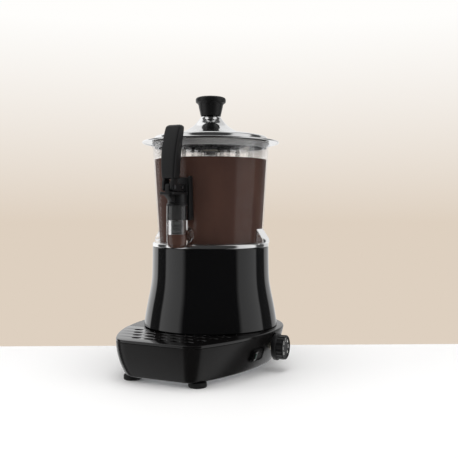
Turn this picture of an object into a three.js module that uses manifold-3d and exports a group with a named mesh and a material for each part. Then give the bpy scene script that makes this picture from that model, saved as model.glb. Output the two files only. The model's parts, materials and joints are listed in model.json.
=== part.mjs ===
// Countertop hot chocolate dispenser, about three litres.
// A clear bowl stands on a heated steel pan, over a bell-shaped column and a low base.
// A gear motor in the column turns a shaft that runs up a standpipe to the stirrer.
// The lever on the front lifts a piston, and chocolate runs out of the clear outlet tube.
// Millimetres, +Z up, front towards -Y, switch and dial on the +X side.

import * as THREE from 'three';
import { mergeVertices } from 'three/addons/utils/BufferGeometryUtils.js';
import Module from 'manifold-3d';

const wasm = await Module();
wasm.setup();

// Clearances, and how far a cutter passes the face that it opens
const seatGap = 0.3;
const slideGap = 0.4;
const boreGap = 0.3;
const overrun = 5;

// Facets of the round forms
const wideFacets = 36;
const middleFacets = 18;
const footFacets = 14;
const smallFacets = 8;
const roundSteps = 2;
const halfTurn = Math.PI;
const quarterTurn = Math.PI / 2;
const fullTurn = Math.PI * 2;

// Base housing: a round back, long side arcs and a straight front with round corners
const footHeight = 7;
const baseHeight = 52;
const baseRearRadius = 112.5;
const baseSideRadius = 300;
const baseFrontReach = 171;
const baseCornerRadius = 28;
const baseSideDraft = 18;
const baseFrontDraft = 12;
const baseCornerDraft = 6;
const baseSideEasing = 15;
const baseWall = 3;
const baseEdgeRound = 2;
const leastCorner = 2;
const rearFacets = 24;
const sideFacets = 5;
const cornerFacets = 5;
const shaftWellRadius = 78;
const lugRadius = 7;
const lugHeight = 5.5;
const lugReach = 4;
const frontLugBack = 110;
const rearLugAngle = 1.13;

// Drip grid and drip tray
const gridThickness = 3.8;
const gridRearLine = 70;
const gridEdgeMargin = 12;
const gridColumnGap = 0.6;
const slotPitch = 20;
const slotRowPitch = 18;
const slotLength = 13;
const slotWidth = 9;
const slotCorner = 3.4;
const slotFirstRow = 148;
const slotRows = 5;
const slotColumns = 9;
const gridRibDepth = 4;
const gridRibWall = 1.6;
const shelfThickness = 3.4;
const trayInset = 6;
const trayWall = 2;
const trayDepth = 34.3;
const trayPostRadius = 5;
const trayPostSpread = 35;
const trayPostReach = 130;

// Bottom plate, feet and screws
const bottomPlateThickness = 2;
const footRadius = 13.1;
const footTopRadius = 12.3;
const footStemRadius = 4;
const footBarbRadius = 5;
const footBarbHeight = 2;
const frontFootWallGap = 10.6;
const frontFootReach = 141.6;
const rearFootX = 66;
const rearFootY = 50;
const screwRadius = 1.6;
const screwHeadRadius = 3.4;
const screwHeadHeight = 1.7;
const screwCrownShare = 0.7;
const screwBite = 5;
const ventWidth = 3.6;
const ventLength = 34;
const ventPitch = 11;
const ventCount = 6;

// Bell-shaped column
const columnTopRadius = 88.4;
const columnFlare = 13.2;
const columnFlarePower = 1.5;
const columnHeight = 118.7;
const columnWall = 3;
const columnSteps = 6;
const columnLipReach = 8.4;
const columnFlangeReach = 14.6;
const columnEdgeRound = 1;
const columnScrewReach = 90;
const columnScrewAngles = [-0.44, 1.57, 3.58];
const shelfReach = 5;
const shelfBand = 3;
const shelfDrop = 42;

// Heated pan, standpipe, gasket and heating element
const panRingHeight = 5.9;
const panSheet = 1.2;
const panEdgeRound = 1;
const panSeatWidth = 13;
const panDishDepth = 6;
const panDishSlope = 8;
const panCollarHeight = 6;
const panCollarFoot = 3;
const standpipeRadius = 10.3;
const standpipeBore = 8;
const standpipeStop = 10.1;
const standpipeDrop = 16;
const nutRadius = 16;
const nutThickness = 5;
const nutSides = 6;
const gasketHeight = 6.5;
const gasketWidth = 3;
const elementLoopRadius = 45;
const elementTubeRadius = 4;
const elementLegDrop = 14;
const elementGap = 0.6;
const elementOpenAngle = 0.5;
const elementArcPoints = 24;
const elementSteps = 32;
const elementSides = 6;

// Gear motor, bracket, bushings and drive shaft
const bracketThickness = 2.5;
const bracketEdgeGap = 1.5;
const bracketVentRadius = 16;
const bracketVentReach = 58;
const bracketVentCount = 3;
const gearboxLength = 64;
const gearboxWidth = 50;
const gearboxHeight = 31;
const gearboxOffset = 12;
const gearboxCorner = 5;
const gearboxBossRadius = 12;
const motorCanRadius = 17;
const motorCanLength = 34;
const motorCanOffset = 24;
const shaftRadius = 4;
const shaftFlatDepth = 1;
const shaftSocketDepth = 15;
const bushingFlange = 1.6;
const bushingLength = 11;

// Stirrer: a flat frame that straddles the standpipe, with a scraping blade at its foot
const stirrerRestAngle = 0.457;
const stirrerThickness = 5;
const stirrerLegInner = 13.5;
const stirrerLegOuter = 44;
const stirrerBarWidth = 6.5;
const stirrerTopBar = 6;
const stirrerBladeReach = 71;
const stirrerBladeHeight = 9;
const stirrerBladeLean = 0.5;
const stirrerHubRadius = 10;
const stirrerHubHeight = 13;
const stirrerFloorGap = 3;
const stirrerCapThickness = 2.5;

// Clear bowl with its moulded socket, rails and side lugs
const bowlHeight = 147.8;
const bowlFootRadius = 79.6;
const bowlRimRadius = 88.4;
const bowlWall = 2.4;
const bowlLipReach = 2;
const bowlLipHeight = 3.2;
const bowlLipRound = 1;
const lugWidth = 26;
const lugBottomReach = 91.6;
const lugTopHeight = 21;
const lugBandHeight = 5.5;
const socketRadius = 12.8;
const socketDepth = 8;
const socketGap = 0.3;
const railWidth = 3;
const railReach = 94;
const railDrop = 20;
const railHeight = 62;

// Outlet tube and its stub
const tubeAxisReach = 106;
const tubeRadius = 14.6;
const tubeBore = 8.8;
const tubeDrop = 4.1;
const tubeLength = 58.6;
const tubeEndRound = 9;
const tubeCounterboreDepth = 20;
const outletRadius = 6;
const outletHeight = 4;
const outletSeatHeight = 4.6;
const stubRadius = 10;
const stubBore = 7;
const stubRise = 17.6;

// Tap body: sleeve, ledge with gusset, pivot ear, and the block that the rails hold
const sleeveRadius = 12.9;
const sleeveBore = 9;
const sleeveRise = 15;
const sleeveCapThickness = 4;
const collarRadius = 14.4;
const collarHeight = 3;
const ledgeThickness = 4;
const ledgeHalfWidth = 11;
const ledgeReach = 139;
const ledgeNose = 5;
const gussetHalfWidth = 3.8;
const earHalfWidth = 3.4;
const earRadius = 5.2;
const pivotReach = 128.5;
const pivotRise = 10.5;
const pinRadius = 2;
const pinHeadRadius = 3.2;
const pinHeadThickness = 1;
const blockHalfWidth = 9.8;
const blockRise = 25;
const blockDepth = 8.6;
const blockBack = 86.9;
const blockFootRise = 1;
const blockCorner = 2;

// Piston, its seals, cross pin and return spring
const pistonRadius = 8.3;
const pistonRise = 1.6;
const pistonLength = 19.8;
const pistonShoulder = 1.2;
const pistonGrooveDepth = 1;
const ringWidth = 2.4;
const ringInset = 3;
const ringGap = 0.05;
const stemRadius = 3;
const stemHeadHalfWidth = 3.4;
const stemHeadDepth = 8;
const stemHeadRise = 5.5;
const stemHeadDrop = 5.5;
const crossPinHalfLength = 9.2;
const sealTipRadius = 4.5;
const sealConeHeight = 4.6;
const springRadius = 6;
const springWire = 0.7;
const springTurns = 7;
const springStepsPerTurn = 8;
const springSides = 5;

// Lever
const cheekInner = 4.2;
const cheekOuter = 8.2;
const cheekEyeRadius = 5.4;
const cheekRise = 16.5;
const cheekShoulder = 4.4;
const forkReach = 29.5;
const forkSlotHalfHeight = 3;
const forkSlotStart = 20;
const gripRise = 11.5;
const gripLength = 74.4;
const gripFootReach = 123.5;
const gripTopReach = 110.5;
const gripWidth = 17.6;
const gripThickness = 14;
const gripWidthShares = [0.62, 0.86, 0.96, 1, 1, 0.98, 0.94, 0.9, 0.86, 0.8, 0.62, 0.3];
const gripThicknessShares = [0.66, 0.84, 0.93, 0.97, 1, 1, 0.98, 0.96, 0.93, 0.86, 0.66, 0.32];
const gripHeightShares = [0, 0.02, 0.06, 0.14, 0.28, 0.44, 0.6, 0.75, 0.87, 0.94, 0.98, 1];
const gripBow = 2.5;
const gripSectionPoints = 16;
const gripSquareness = 3;

// Lid with skirt, seal and knob
const lidRadius = 104;
const lidBrimRise = 3.9;
const lidCrownRise = 38.8;
const lidCrownRadius = 14.6;
const lidSheet = 1.2;
const lidHem = 2.2;
const lidSteps = 11;
const lidRadiusShares = [0.01, 0.054, 0.146, 0.293, 0.414, 0.578, 0.718, 0.8, 0.856, 0.921, 0.985];
const lidRiseShares = [0.975, 0.843, 0.65, 0.452, 0.355, 0.274, 0.2, 0.12, 0.052, 0.012, 0];
const skirtRadius = 80.6;
const skirtDepth = 20;
const sealLip = 3.6;
const sealPlugDepth = 6;
const knobHeight = 29.7;
const knobRadius = 22.9;
const knobRadiusShares = [0.664, 0.748, 0.916, 0.979, 1, 1, 0.958, 0.831, 0.62, 0];
const knobRiseShares = [0, 0.275, 0.485, 0.55, 0.68, 0.87, 0.935, 0.974, 0.992, 1];
const knobScrewRadius = 1.9;
const knobScrewBite = 13;
const knobScrewHead = 4.6;

// Thermostat and dial
const dialReachX = 111;
const dialBack = 13;
const dialHeight = 35;
const dialRadius = 19.5;
const dialRearRadius = 17.4;
const dialLength = 17;
const dialRibs = 18;
const dialRibDepth = 0.8;
const dialRibPoints = 4;
const dialFaceRadius = 15.6;
const dialFaceRecess = 1;
const dialEdgeRound = 1.6;
const dialBossRadius = 16;
const dialShaftRadius = 3;
const dialShaftBite = 11;
const dialBushingRadius = 5;
const thermostatLength = 28;
const thermostatWidth = 28;
const thermostatHeight = 26;
const thermostatFace = 95;

// Rocker switch
const switchBack = 55;
const switchHeight = 31;
const bezelLength = 32;
const bezelWidth = 19;
const bezelThickness = 2;
const bezelCorner = 2.5;
const bezelLift = 0.9;
const bezelBodyLength = 26.4;
const bezelBodyWidth = 15.4;
const bezelBodyDepth = 14;
const windowLength = 24.6;
const windowWidth = 13.6;
const windowDepth = 6;
const switchCorner = 0.5;
const rockerHalfLength = 11.5;
const rockerHalfWidth = 6.5;
const rockerDepth = 3;
const rockerCrest = 2.4;
const rockerDip = 0.9;
const rockerRestAngle = 0.14;
const lensLength = 3.4;
const lensWidth = 7.6;
const lensPlace = 8;
const lensDepth = 1.6;

// Cable gland at the back
const glandHeight = 28;
const glandBossRadius = 12;
const glandFace = 107;
const glandFlangeRadius = 9.5;
const glandFlange = 3;
const glandTipRadius = 6;
const glandTipTaper = 0.5;
const glandLength = 11;
const glandThreadRadius = 6.4;
const glandThreadLength = 14;
const glandBore = 3.5;
const glandNutRadius = 10;
const glandNutThickness = 4;

// Heights that follow from the sizes above
const baseTop = footHeight + baseHeight;
const plateBottom = footHeight + seatGap;
const plateTop = plateBottom + bottomPlateThickness;
const gridBottom = baseTop - gridThickness;
const shelfTop = gridBottom - seatGap;
const shelfBottom = shelfTop - shelfThickness;
const trayTop = gridBottom - slideGap;
const trayBottom = trayTop - trayDepth;
const columnBottom = baseTop + seatGap;
const columnTop = columnBottom + columnHeight;
const bracketShelfTop = columnTop - shelfDrop;
const bracketBottom = bracketShelfTop + seatGap;
const bracketTop = bracketBottom + bracketThickness;
const panBottom = columnTop + seatGap;
const panTop = panBottom + panRingHeight;
const dishTop = panTop - panDishDepth;
const dishBottom = dishTop - panSheet;
const bowlBottom = panTop + seatGap;
const bowlTop = bowlBottom + bowlHeight;
const standpipeTop = bowlTop - standpipeStop;
const standpipeFoot = dishBottom - standpipeDrop;
const gearboxTop = bracketBottom - seatGap;
const gearboxBottom = gearboxTop - gearboxHeight;
const shaftFoot = gearboxTop - shaftSocketDepth + seatGap;
const stirrerTop = standpipeTop + bushingFlange + seatGap + seatGap + stirrerHubHeight;
const shaftTop = stirrerTop - stirrerCapThickness - seatGap;
const tubeBottom = bowlBottom - tubeDrop;
const tubeTop = tubeBottom + tubeLength;
const stubHeight = tubeBottom + stubRise;
const sleeveTop = tubeTop + sleeveRise;
const pivotHeight = sleeveTop + pivotRise;
const blockFoot = tubeTop + blockFootRise;
const blockTop = sleeveTop + blockRise;
const railBottom = tubeTop - railDrop;
const railTop = railBottom + railHeight;
const pistonFoot = stubHeight + pistonRise;
const pistonTop = pistonFoot + pistonLength;
const stemHeadFoot = pivotHeight - stemHeadDrop;
const cheekTop = pivotHeight + cheekRise;
const gripFoot = pivotHeight + gripRise;
const gripTop = gripFoot + gripLength;
const lidBrimHeight = bowlTop + lidBrimRise;
const lidCrownHeight = lidBrimHeight + lidCrownRise;
const sealPlugBottom = tubeBottom + outletHeight + seatGap;

// Materials
const glossBlack = coat(0x0c0c0d, 0.1, 0);
const satinBlack = coat(0x242222, 0.5, 0);
const moulded = coat(0x1b1b1c, 0.42, 0);
const rubber = coat(0x1c1c1c, 0.85, 0);
const polishedSteel = coat(0xc9cbcd, 0.14, 1);
const brushedSteel = coat(0xb4b6b8, 0.35, 1);
const clearPlastic = coat(0xe4ecee, 0.05, 0);
const paleSilicone = coat(0xcfd0cc, 0.6, 0);
const darkSilicone = coat(0x3a2c27, 0.5, 0);
const zincSteel = coat(0x9da0a2, 0.45, 1);
const greenLens = coat(0x5fa58c, 0.2, 0);
const paleResin = coat(0xd8d4c8, 0.55, 0);

const machine = new THREE.Group();
const dispenser = new THREE.Group();
dispenser.add(machine);

// A material from its colour, roughness and metalness
function coat(color, roughness, metalness) {
  return new THREE.MeshStandardMaterial({ color, roughness, metalness });
}

// Adds a named mesh to a group
function place(name, geometry, material, parent = machine) {
  const mesh = new THREE.Mesh(closed(geometry), material);
  mesh.name = name;
  parent.add(mesh);
  return mesh;
}

// A geometry with shared vertices, no collapsed triangles and its faces pointing out
function closed(geometry) {
  const bare = geometry.clone();
  bare.deleteAttribute('normal');
  bare.deleteAttribute('uv');
  const merged = mergeVertices(bare);
  const index = merged.index.array;
  const kept = [];
  for (let i = 0; i < index.length; i += 3) {
    const [a, b, c] = [index[i], index[i + 1], index[i + 2]];
    if (a !== b && b !== c && a !== c) kept.push(a, b, c);
  }
  if (signedVolume(merged.attributes.position, kept) < 0) kept.reverse();
  merged.setIndex(kept);
  return merged;
}

// Six times the volume that a triangle list encloses, negative where its faces point in
function signedVolume(position, index) {
  const [a, b, c] = [new THREE.Vector3(), new THREE.Vector3(), new THREE.Vector3()];
  let sum = 0;
  for (let i = 0; i < index.length; i += 3) {
    a.fromBufferAttribute(position, index[i]);
    b.fromBufferAttribute(position, index[i + 1]);
    c.fromBufferAttribute(position, index[i + 2]);
    sum += a.dot(b.cross(c));
  }
  return sum;
}

// A solid that can be joined and cut, and the way back to a geometry
function solid(geometry) {
  const ready = closed(geometry);
  const vertProperties = new Float32Array(ready.attributes.position.array);
  const triVerts = new Uint32Array(ready.index.array);
  return new wasm.Manifold(new wasm.Mesh({ numProp: 3, vertProperties, triVerts }));
}

function surface(body) {
  const mesh = body.getMesh();
  const geometry = new THREE.BufferGeometry();
  geometry.setAttribute('position', new THREE.BufferAttribute(mesh.vertProperties, 3));
  geometry.setIndex(new THREE.BufferAttribute(mesh.triVerts, 1));
  return geometry;
}

function join(geometries) {
  return geometries.map(solid).reduce((sum, next) => sum.add(next));
}

function cut(body, geometries) {
  return geometries.map(solid).reduce((rest, next) => rest.subtract(next), body);
}

// A solid turned about Z, from [radius, height] points that end on the axis or close on themselves
function revolve(profile, facets = wideFacets) {
  const points = profile.map(([radius, height]) => new THREE.Vector2(radius, height));
  const onAxis = profile[0][0] === 0 && profile.at(-1)[0] === 0;
  if (!onAxis) points.push(points[0].clone());
  return new THREE.LatheGeometry(points, facets).rotateX(quarterTurn);
}

function disc(radius, low, high, facets = middleFacets) {
  return revolve([[0, low], [radius, low], [radius, high], [0, high]], facets);
}

function sleeve(inner, outer, low, high, facets = middleFacets) {
  return revolve([[inner, low], [outer, low], [outer, high], [inner, high]], facets);
}

// A six-sided nut about Z, given the radius to its corners
function hexNut(bore, radius, low, high) {
  const outline = arc(0, 0, radius, 0, fullTurn, nutSides).slice(0, -1);
  const hole = disc(bore, low - overrun, high + overrun);
  return surface(cut(solid(prism(outline, low, high)), [hole]));
}

// A box between two corners
function block([x0, y0, z0], [x1, y1, z1]) {
  const box = new THREE.BoxGeometry(x1 - x0, y1 - y0, z1 - z0);
  return box.translate((x0 + x1) / 2, (y0 + y1) / 2, (z0 + z1) / 2);
}

// Turns a solid made about Z so that it lies along X or Y
function alongX(geometry) {
  return geometry.rotateY(quarterTurn);
}

function alongY(geometry) {
  return geometry.rotateX(-quarterTurn);
}

// An outline in X and Y, raised between two heights
function prism(outline, low, high) {
  const shape = new THREE.Shape(outline.map(([x, y]) => new THREE.Vector2(x, y)));
  const options = { depth: high - low, bevelEnabled: false, steps: 1 };
  return new THREE.ExtrudeGeometry(shape, options).translate(0, 0, low);
}

// An outline in Y and Z, spread along X between two places
function sidePlate(outline, left, right) {
  const turn = new THREE.Matrix4().makeBasis(
    new THREE.Vector3(0, 1, 0),
    new THREE.Vector3(0, 0, 1),
    new THREE.Vector3(1, 0, 0),
  );
  return prism(outline, left, right).applyMatrix4(turn);
}

// Points on a circular arc, both ends included
function arc(x, y, radius, from, to, steps) {
  const points = [];
  for (let i = 0; i <= steps; i += 1) {
    const angle = from + ((to - from) * i) / steps;
    points.push([x + radius * Math.cos(angle), y + radius * Math.sin(angle)]);
  }
  return points;
}

// A rectangle with round corners about a centre
function roundedRectangle(length, width, corner, x = 0, y = 0, steps = 1) {
  const dx = length / 2 - corner;
  const dy = width / 2 - corner;
  const places = [[dx, dy], [-dx, dy], [-dx, -dy], [dx, -dy]];
  return places.flatMap(([cx, cy], i) => (
    arc(x + cx, y + cy, corner, quarterTurn * i, quarterTurn * (i + 1), steps)
  ));
}

// A solid skinned over loops of equally many points, closed by a flat cap at each end
function loft(rings) {
  const count = rings[0].length;
  const positions = rings.flat(2);
  const index = [];
  for (let ring = 0; ring + 1 < rings.length; ring += 1) {
    for (let i = 0; i < count; i += 1) {
      const next = (i + 1) % count;
      const [a, b] = [ring * count + i, ring * count + next];
      index.push(a, b, b + count, a, b + count, a + count);
    }
  }
  const last = (rings.length - 1) * count;
  const flat = rings[0].map(([x, y]) => new THREE.Vector2(x, y));
  for (const [a, b, c] of THREE.ShapeUtils.triangulateShape(flat, [])) {
    index.push(a, c, b, last + a, last + b, last + c);
  }
  const geometry = new THREE.BufferGeometry();
  geometry.setAttribute('position', new THREE.Float32BufferAttribute(positions, 3));
  geometry.setIndex(index);
  return geometry;
}

// The base's outline in plan: rise runs from 0 at its lower edge to 1 at its top
function baseOutline(rise, inset) {
  const draw = 1 - rise;
  const rear = baseRearRadius - baseSideDraft * draw - inset;
  const side = baseSideRadius + baseSideEasing * draw - inset;
  const front = baseFrontReach - baseFrontDraft * draw - inset;
  const corner = Math.max(baseCornerRadius - baseCornerDraft * draw - inset, leastCorner);
  const sideX = rear - side;
  const cornerX = sideX + Math.sqrt((side - corner) ** 2 - (front - corner) ** 2);
  const meet = Math.asin((front - corner) / (side - corner));
  return [
    ...arc(0, 0, rear, 0, halfTurn, rearFacets).slice(0, -1),
    ...arc(-sideX, 0, side, halfTurn, halfTurn + meet, sideFacets).slice(0, -1),
    ...arc(-cornerX, corner - front, corner, halfTurn + meet, halfTurn + quarterTurn, cornerFacets),
    ...arc(cornerX, corner - front, corner, -quarterTurn, -meet, cornerFacets).slice(0, -1),
    ...arc(sideX, 0, side, -meet, 0, sideFacets).slice(0, -1),
  ];
}

function baseRing(height, inset) {
  const rise = (height - footHeight) / baseHeight;
  return baseOutline(rise, inset).map(([x, y]) => [x, y, height]);
}

// A slice of the base's form, drawn in by an inset
function baseSlice(low, high, inset) {
  return loft([baseRing(low, inset), baseRing(high, inset)]);
}

// The side wall's X at a given Y and height
function wallX(y, height) {
  const draw = 1 - (height - footHeight) / baseHeight;
  const rear = baseRearRadius - baseSideDraft * draw;
  const side = baseSideRadius + baseSideEasing * draw;
  return y > 0 ? Math.sqrt(rear ** 2 - y ** 2) : rear - side + Math.sqrt(side ** 2 - y ** 2);
}

// Everything in front of a line across the base
function frontOf(line, low, high) {
  const reach = baseFrontReach + overrun;
  return block([-reach, -reach, low], [reach, -line, high]);
}

// The crescent in front of the column that the tray, its well and the grid's rib share
function crescent(low, high, inset) {
  const slice = solid(baseSlice(low, high, trayInset + inset));
  const front = solid(frontOf(gridRearLine + trayInset + inset, low - overrun, high + overrun));
  const keepOut = columnFootRadius() + trayInset + inset;
  const column = disc(keepOut, low - overrun, high + overrun, wideFacets);
  return surface(cut(slice.intersect(front), [column]));
}

function columnRadius(height) {
  const drop = (columnTop - height) / columnHeight;
  return columnTopRadius + columnFlare * Math.max(drop, 0) ** columnFlarePower;
}

function columnFootRadius() {
  return columnTopRadius + columnFlare;
}

// Base housing
function baseHousing() {
  const rings = [];
  for (let i = 0; i <= roundSteps; i += 1) {
    const turn = (quarterTurn * i) / roundSteps;
    const height = footHeight + baseEdgeRound * (1 - Math.cos(turn));
    rings.push(baseRing(height, baseEdgeRound * (1 - Math.sin(turn))));
  }
  for (let i = 0; i <= roundSteps; i += 1) {
    const turn = (quarterTurn * i) / roundSteps;
    const height = baseTop - baseEdgeRound * (1 - Math.sin(turn));
    rings.push(baseRing(height, baseEdgeRound * (1 - Math.cos(turn))));
  }
  const dialBoss = alongX(disc(dialBossRadius, 0, dialReachX - seatGap))
    .translate(0, -dialBack, dialHeight);
  const glandBoss = alongY(disc(glandBossRadius, 0, glandFace)).translate(0, 0, glandHeight);
  const outer = join([loft(rings), dialBoss, glandBoss]);

  const rearCavity = solid(baseSlice(shelfBottom - overrun, baseTop - baseWall, baseWall));
  const hollowed = cut(outer, [baseSlice(footHeight - overrun, shelfBottom, baseWall)])
    .subtract(cut(rearCavity, [frontOf(gridRearLine - baseWall, footHeight, baseTop + overrun)]));

  const recess = cut(
    solid(frontOf(gridRearLine, shelfTop, baseTop + overrun)),
    [disc(columnFootRadius() + seatGap, footHeight, baseTop + overrun, wideFacets)],
  );
  const lugs = join(lugPlaces().map(([x, y]) => (
    disc(lugRadius, plateTop + seatGap, plateTop + lugHeight, smallFacets).translate(x, y, 0)
  )));
  const lugHoleTop = baseTop - baseWall - overrun;
  const cutters = [
    disc(shaftWellRadius, shelfBottom - overrun, baseTop + overrun, wideFacets),
    crescent(shelfBottom - overrun, shelfTop + overrun, 0),
    alongX(disc(dialBushingRadius + boreGap, 0, dialReachX + overrun, smallFacets))
      .translate(0, -dialBack, dialHeight),
    alongY(disc(glandThreadRadius + boreGap, 0, glandFace + overrun)).translate(0, 0, glandHeight),
    switchCutter(),
    ...columnScrewPlaces().map(([x, y]) => (
      disc(screwRadius + boreGap, shelfBottom, baseTop + overrun, smallFacets).translate(x, y, 0)
    )),
    ...lugPlaces().map(([x, y]) => (
      disc(screwRadius + boreGap, footHeight, lugHoleTop, smallFacets).translate(x, y, 0)
    )),
  ];
  place('base_housing', surface(cut(hollowed.subtract(recess).add(lugs), cutters)), satinBlack);
}

// Where the bottom plate is screwed to the housing
function lugPlaces() {
  const front = wallX(-frontLugBack, plateTop) - baseWall - lugReach;
  const rear = baseRearRadius - baseSideDraft - baseWall - lugReach;
  const [rearX, rearY] = [rear * Math.cos(rearLugAngle), rear * Math.sin(rearLugAngle)];
  return [[front, -frontLugBack], [-front, -frontLugBack], [rearX, rearY], [-rearX, rearY]];
}

function footPlaces() {
  const frontFootX = wallX(-frontFootReach, footHeight) - frontFootWallGap;
  return {
    foot_front_left: [-frontFootX, -frontFootReach],
    foot_front_right: [frontFootX, -frontFootReach],
    foot_rear_left: [-rearFootX, rearFootY],
    foot_rear_right: [rearFootX, rearFootY],
  };
}

function columnScrewPlaces() {
  return columnScrewAngles.map((angle) => [
    columnScrewReach * Math.cos(angle),
    columnScrewReach * Math.sin(angle),
  ]);
}

// A pan-head screw whose head lies under a face and whose shank goes up
function screw(face, bite) {
  const headTop = face - seatGap;
  return revolve([
    [0, headTop - screwHeadHeight],
    [screwHeadRadius * screwCrownShare, headTop - screwHeadHeight],
    [screwHeadRadius, headTop - screwHeadHeight / 2],
    [screwHeadRadius, headTop],
    [screwRadius, headTop],
    [screwRadius, face + bite],
    [0, face + bite + screwRadius],
  ], smallFacets);
}

// Bottom plate, feet and plate screws
function underside() {
  const posts = [
    [0, -trayPostReach - trayPostRadius],
    [trayPostSpread, -trayPostReach],
    [-trayPostSpread, -trayPostReach],
  ];
  const plate = join([
    baseSlice(plateBottom, plateTop, baseWall + seatGap),
    ...posts.map(([x, y]) => (
      disc(trayPostRadius, plateBottom, trayBottom - seatGap, smallFacets).translate(x, y, 0)
    )),
  ]);
  const vents = [];
  for (let i = 0; i < ventCount; i += 1) {
    const x = (i - (ventCount - 1) / 2) * ventPitch;
    const outline = roundedRectangle(ventWidth, ventLength, ventWidth / 2, x, 0);
    vents.push(prism(outline, plateBottom - overrun, plateTop + overrun));
  }
  const holes = [
    ...Object.values(footPlaces()).map(([x, y]) => [footStemRadius + boreGap, x, y, footFacets]),
    ...lugPlaces().map(([x, y]) => [screwRadius + boreGap, x, y, smallFacets]),
  ].map(([radius, x, y, facets]) => disc(radius, 0, trayBottom, facets).translate(x, y, 0));
  place('bottom_plate', surface(cut(plate, [...vents, ...holes])), zincSteel);

  for (const [name, [x, y]] of Object.entries(footPlaces())) {
    place(name, foot(), rubber).position.set(x, y, 0);
  }
  lugPlaces().forEach(([x, y], i) => {
    place(`plate_screw_${i + 1}`, screw(plateBottom, screwBite), zincSteel).position.set(x, y, 0);
  });
}

// A push-in foot: a tapered pad, a stem through the plate and a barb above it
function foot() {
  const padTop = footHeight - seatGap;
  const barb = plateTop + seatGap;
  return revolve([
    [0, 0],
    [footTopRadius, 0],
    [footRadius, footRadius - footTopRadius],
    [footTopRadius, padTop],
    [footStemRadius, padTop],
    [footStemRadius, barb],
    [footBarbRadius, barb],
    [footStemRadius, barb + footBarbHeight],
    [0, barb + footBarbHeight],
  ], footFacets);
}

// Drip tray and drip grid
function dripParts() {
  const shell = solid(crescent(trayBottom, trayTop, slideGap));
  const inside = crescent(trayBottom + trayWall, trayTop + overrun, slideGap + trayWall);
  place('drip_tray', surface(cut(shell, [inside])), satinBlack);

  const ribInset = slideGap + trayWall + slideGap;
  const rib = cut(
    solid(crescent(gridBottom - gridRibDepth, gridBottom + seatGap, ribInset)),
    [crescent(gridBottom - gridRibDepth - overrun, gridBottom, ribInset + gridRibWall)],
  );
  const nearColumn = disc(columnFootRadius() + gridColumnGap, footHeight, baseTop + overrun, wideFacets);
  const sheet = solid(baseSlice(gridBottom, baseTop, 0))
    .intersect(solid(frontOf(gridRearLine + seatGap, footHeight, baseTop + overrun)))
    .subtract(solid(nearColumn));
  const slots = slotPlaces().map(([x, y]) => {
    const outline = roundedRectangle(slotLength, slotWidth, slotCorner, x, y);
    return prism(outline, shelfBottom - overrun, baseTop + overrun);
  });
  place('drip_grid', surface(cut(sheet.add(rib), slots)), satinBlack);
}

// The drain slots stand in staggered rows wherever a whole slot fits
function slotPlaces() {
  const places = [];
  for (let row = 0; row < slotRows; row += 1) {
    const y = -slotFirstRow + row * slotRowPitch;
    const stagger = (row % 2) / 2;
    for (let i = -slotColumns; i <= slotColumns; i += 1) {
      const x = (i + stagger) * slotPitch;
      if (slotFits(x, y)) places.push([x, y]);
    }
  }
  return places;
}

function slotFits(x, y) {
  const near = columnFootRadius() + slideGap + gridRibWall;
  const [side, back] = [Math.abs(x) + slotLength / 2, y + slotWidth / 2];
  const inner = Math.max(Math.abs(x) - slotLength / 2, 0);
  const front = y - slotWidth / 2;
  const widest = wallX(front, baseTop) - gridEdgeMargin;
  return side < widest && Math.hypot(inner, back) > near && back < -gridRearLine - slideGap;
}

// Bell-shaped column, with a lip that carries the pan and a shelf that carries the motor bracket
function column() {
  const outer = [];
  for (let i = 0; i <= columnSteps; i += 1) {
    const height = columnBottom + ((columnHeight - columnEdgeRound) * i) / columnSteps;
    outer.push([columnRadius(height), height]);
  }
  const inner = outer.map(([radius, height]) => [radius - columnWall, height]);
  const shelfLow = bracketShelfTop - shelfBand;
  const between = (low, high) => inner.filter(([, height]) => height > low && height < high).reverse();
  const lipRadius = columnTopRadius - columnLipReach;
  const flangeRadius = columnFootRadius() - columnWall - columnFlangeReach;
  const shell = revolve([
    ...outer,
    [columnTopRadius - columnEdgeRound, columnTop],
    [lipRadius, columnTop],
    [lipRadius, columnTop - columnWall],
    [columnTopRadius - columnWall, columnTop - columnWall],
    ...between(bracketShelfTop, columnTop - columnWall),
    [columnRadius(bracketShelfTop) - columnWall, bracketShelfTop],
    [columnRadius(bracketShelfTop) - columnWall - shelfReach, bracketShelfTop],
    [columnRadius(shelfLow) - columnWall, shelfLow],
    ...between(columnBottom + columnWall, shelfLow),
    [columnRadius(columnBottom + columnWall) - columnWall, columnBottom + columnWall],
    [flangeRadius, columnBottom + columnWall],
    [flangeRadius, columnBottom],
  ]);
  const holes = columnScrewPlaces().map(([x, y]) => (
    disc(screwRadius + boreGap, baseTop - overrun, columnBottom + overrun, smallFacets)
      .translate(x, y, 0)
  ));
  place('column_housing', surface(cut(solid(shell), holes)), glossBlack);
  columnScrewPlaces().forEach(([x, y], i) => {
    const bolt = screw(baseTop - baseWall, baseWall + columnWall + seatGap);
    place(`column_screw_${i + 1}`, bolt, zincSteel).position.set(x, y, 0);
  });
}

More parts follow.
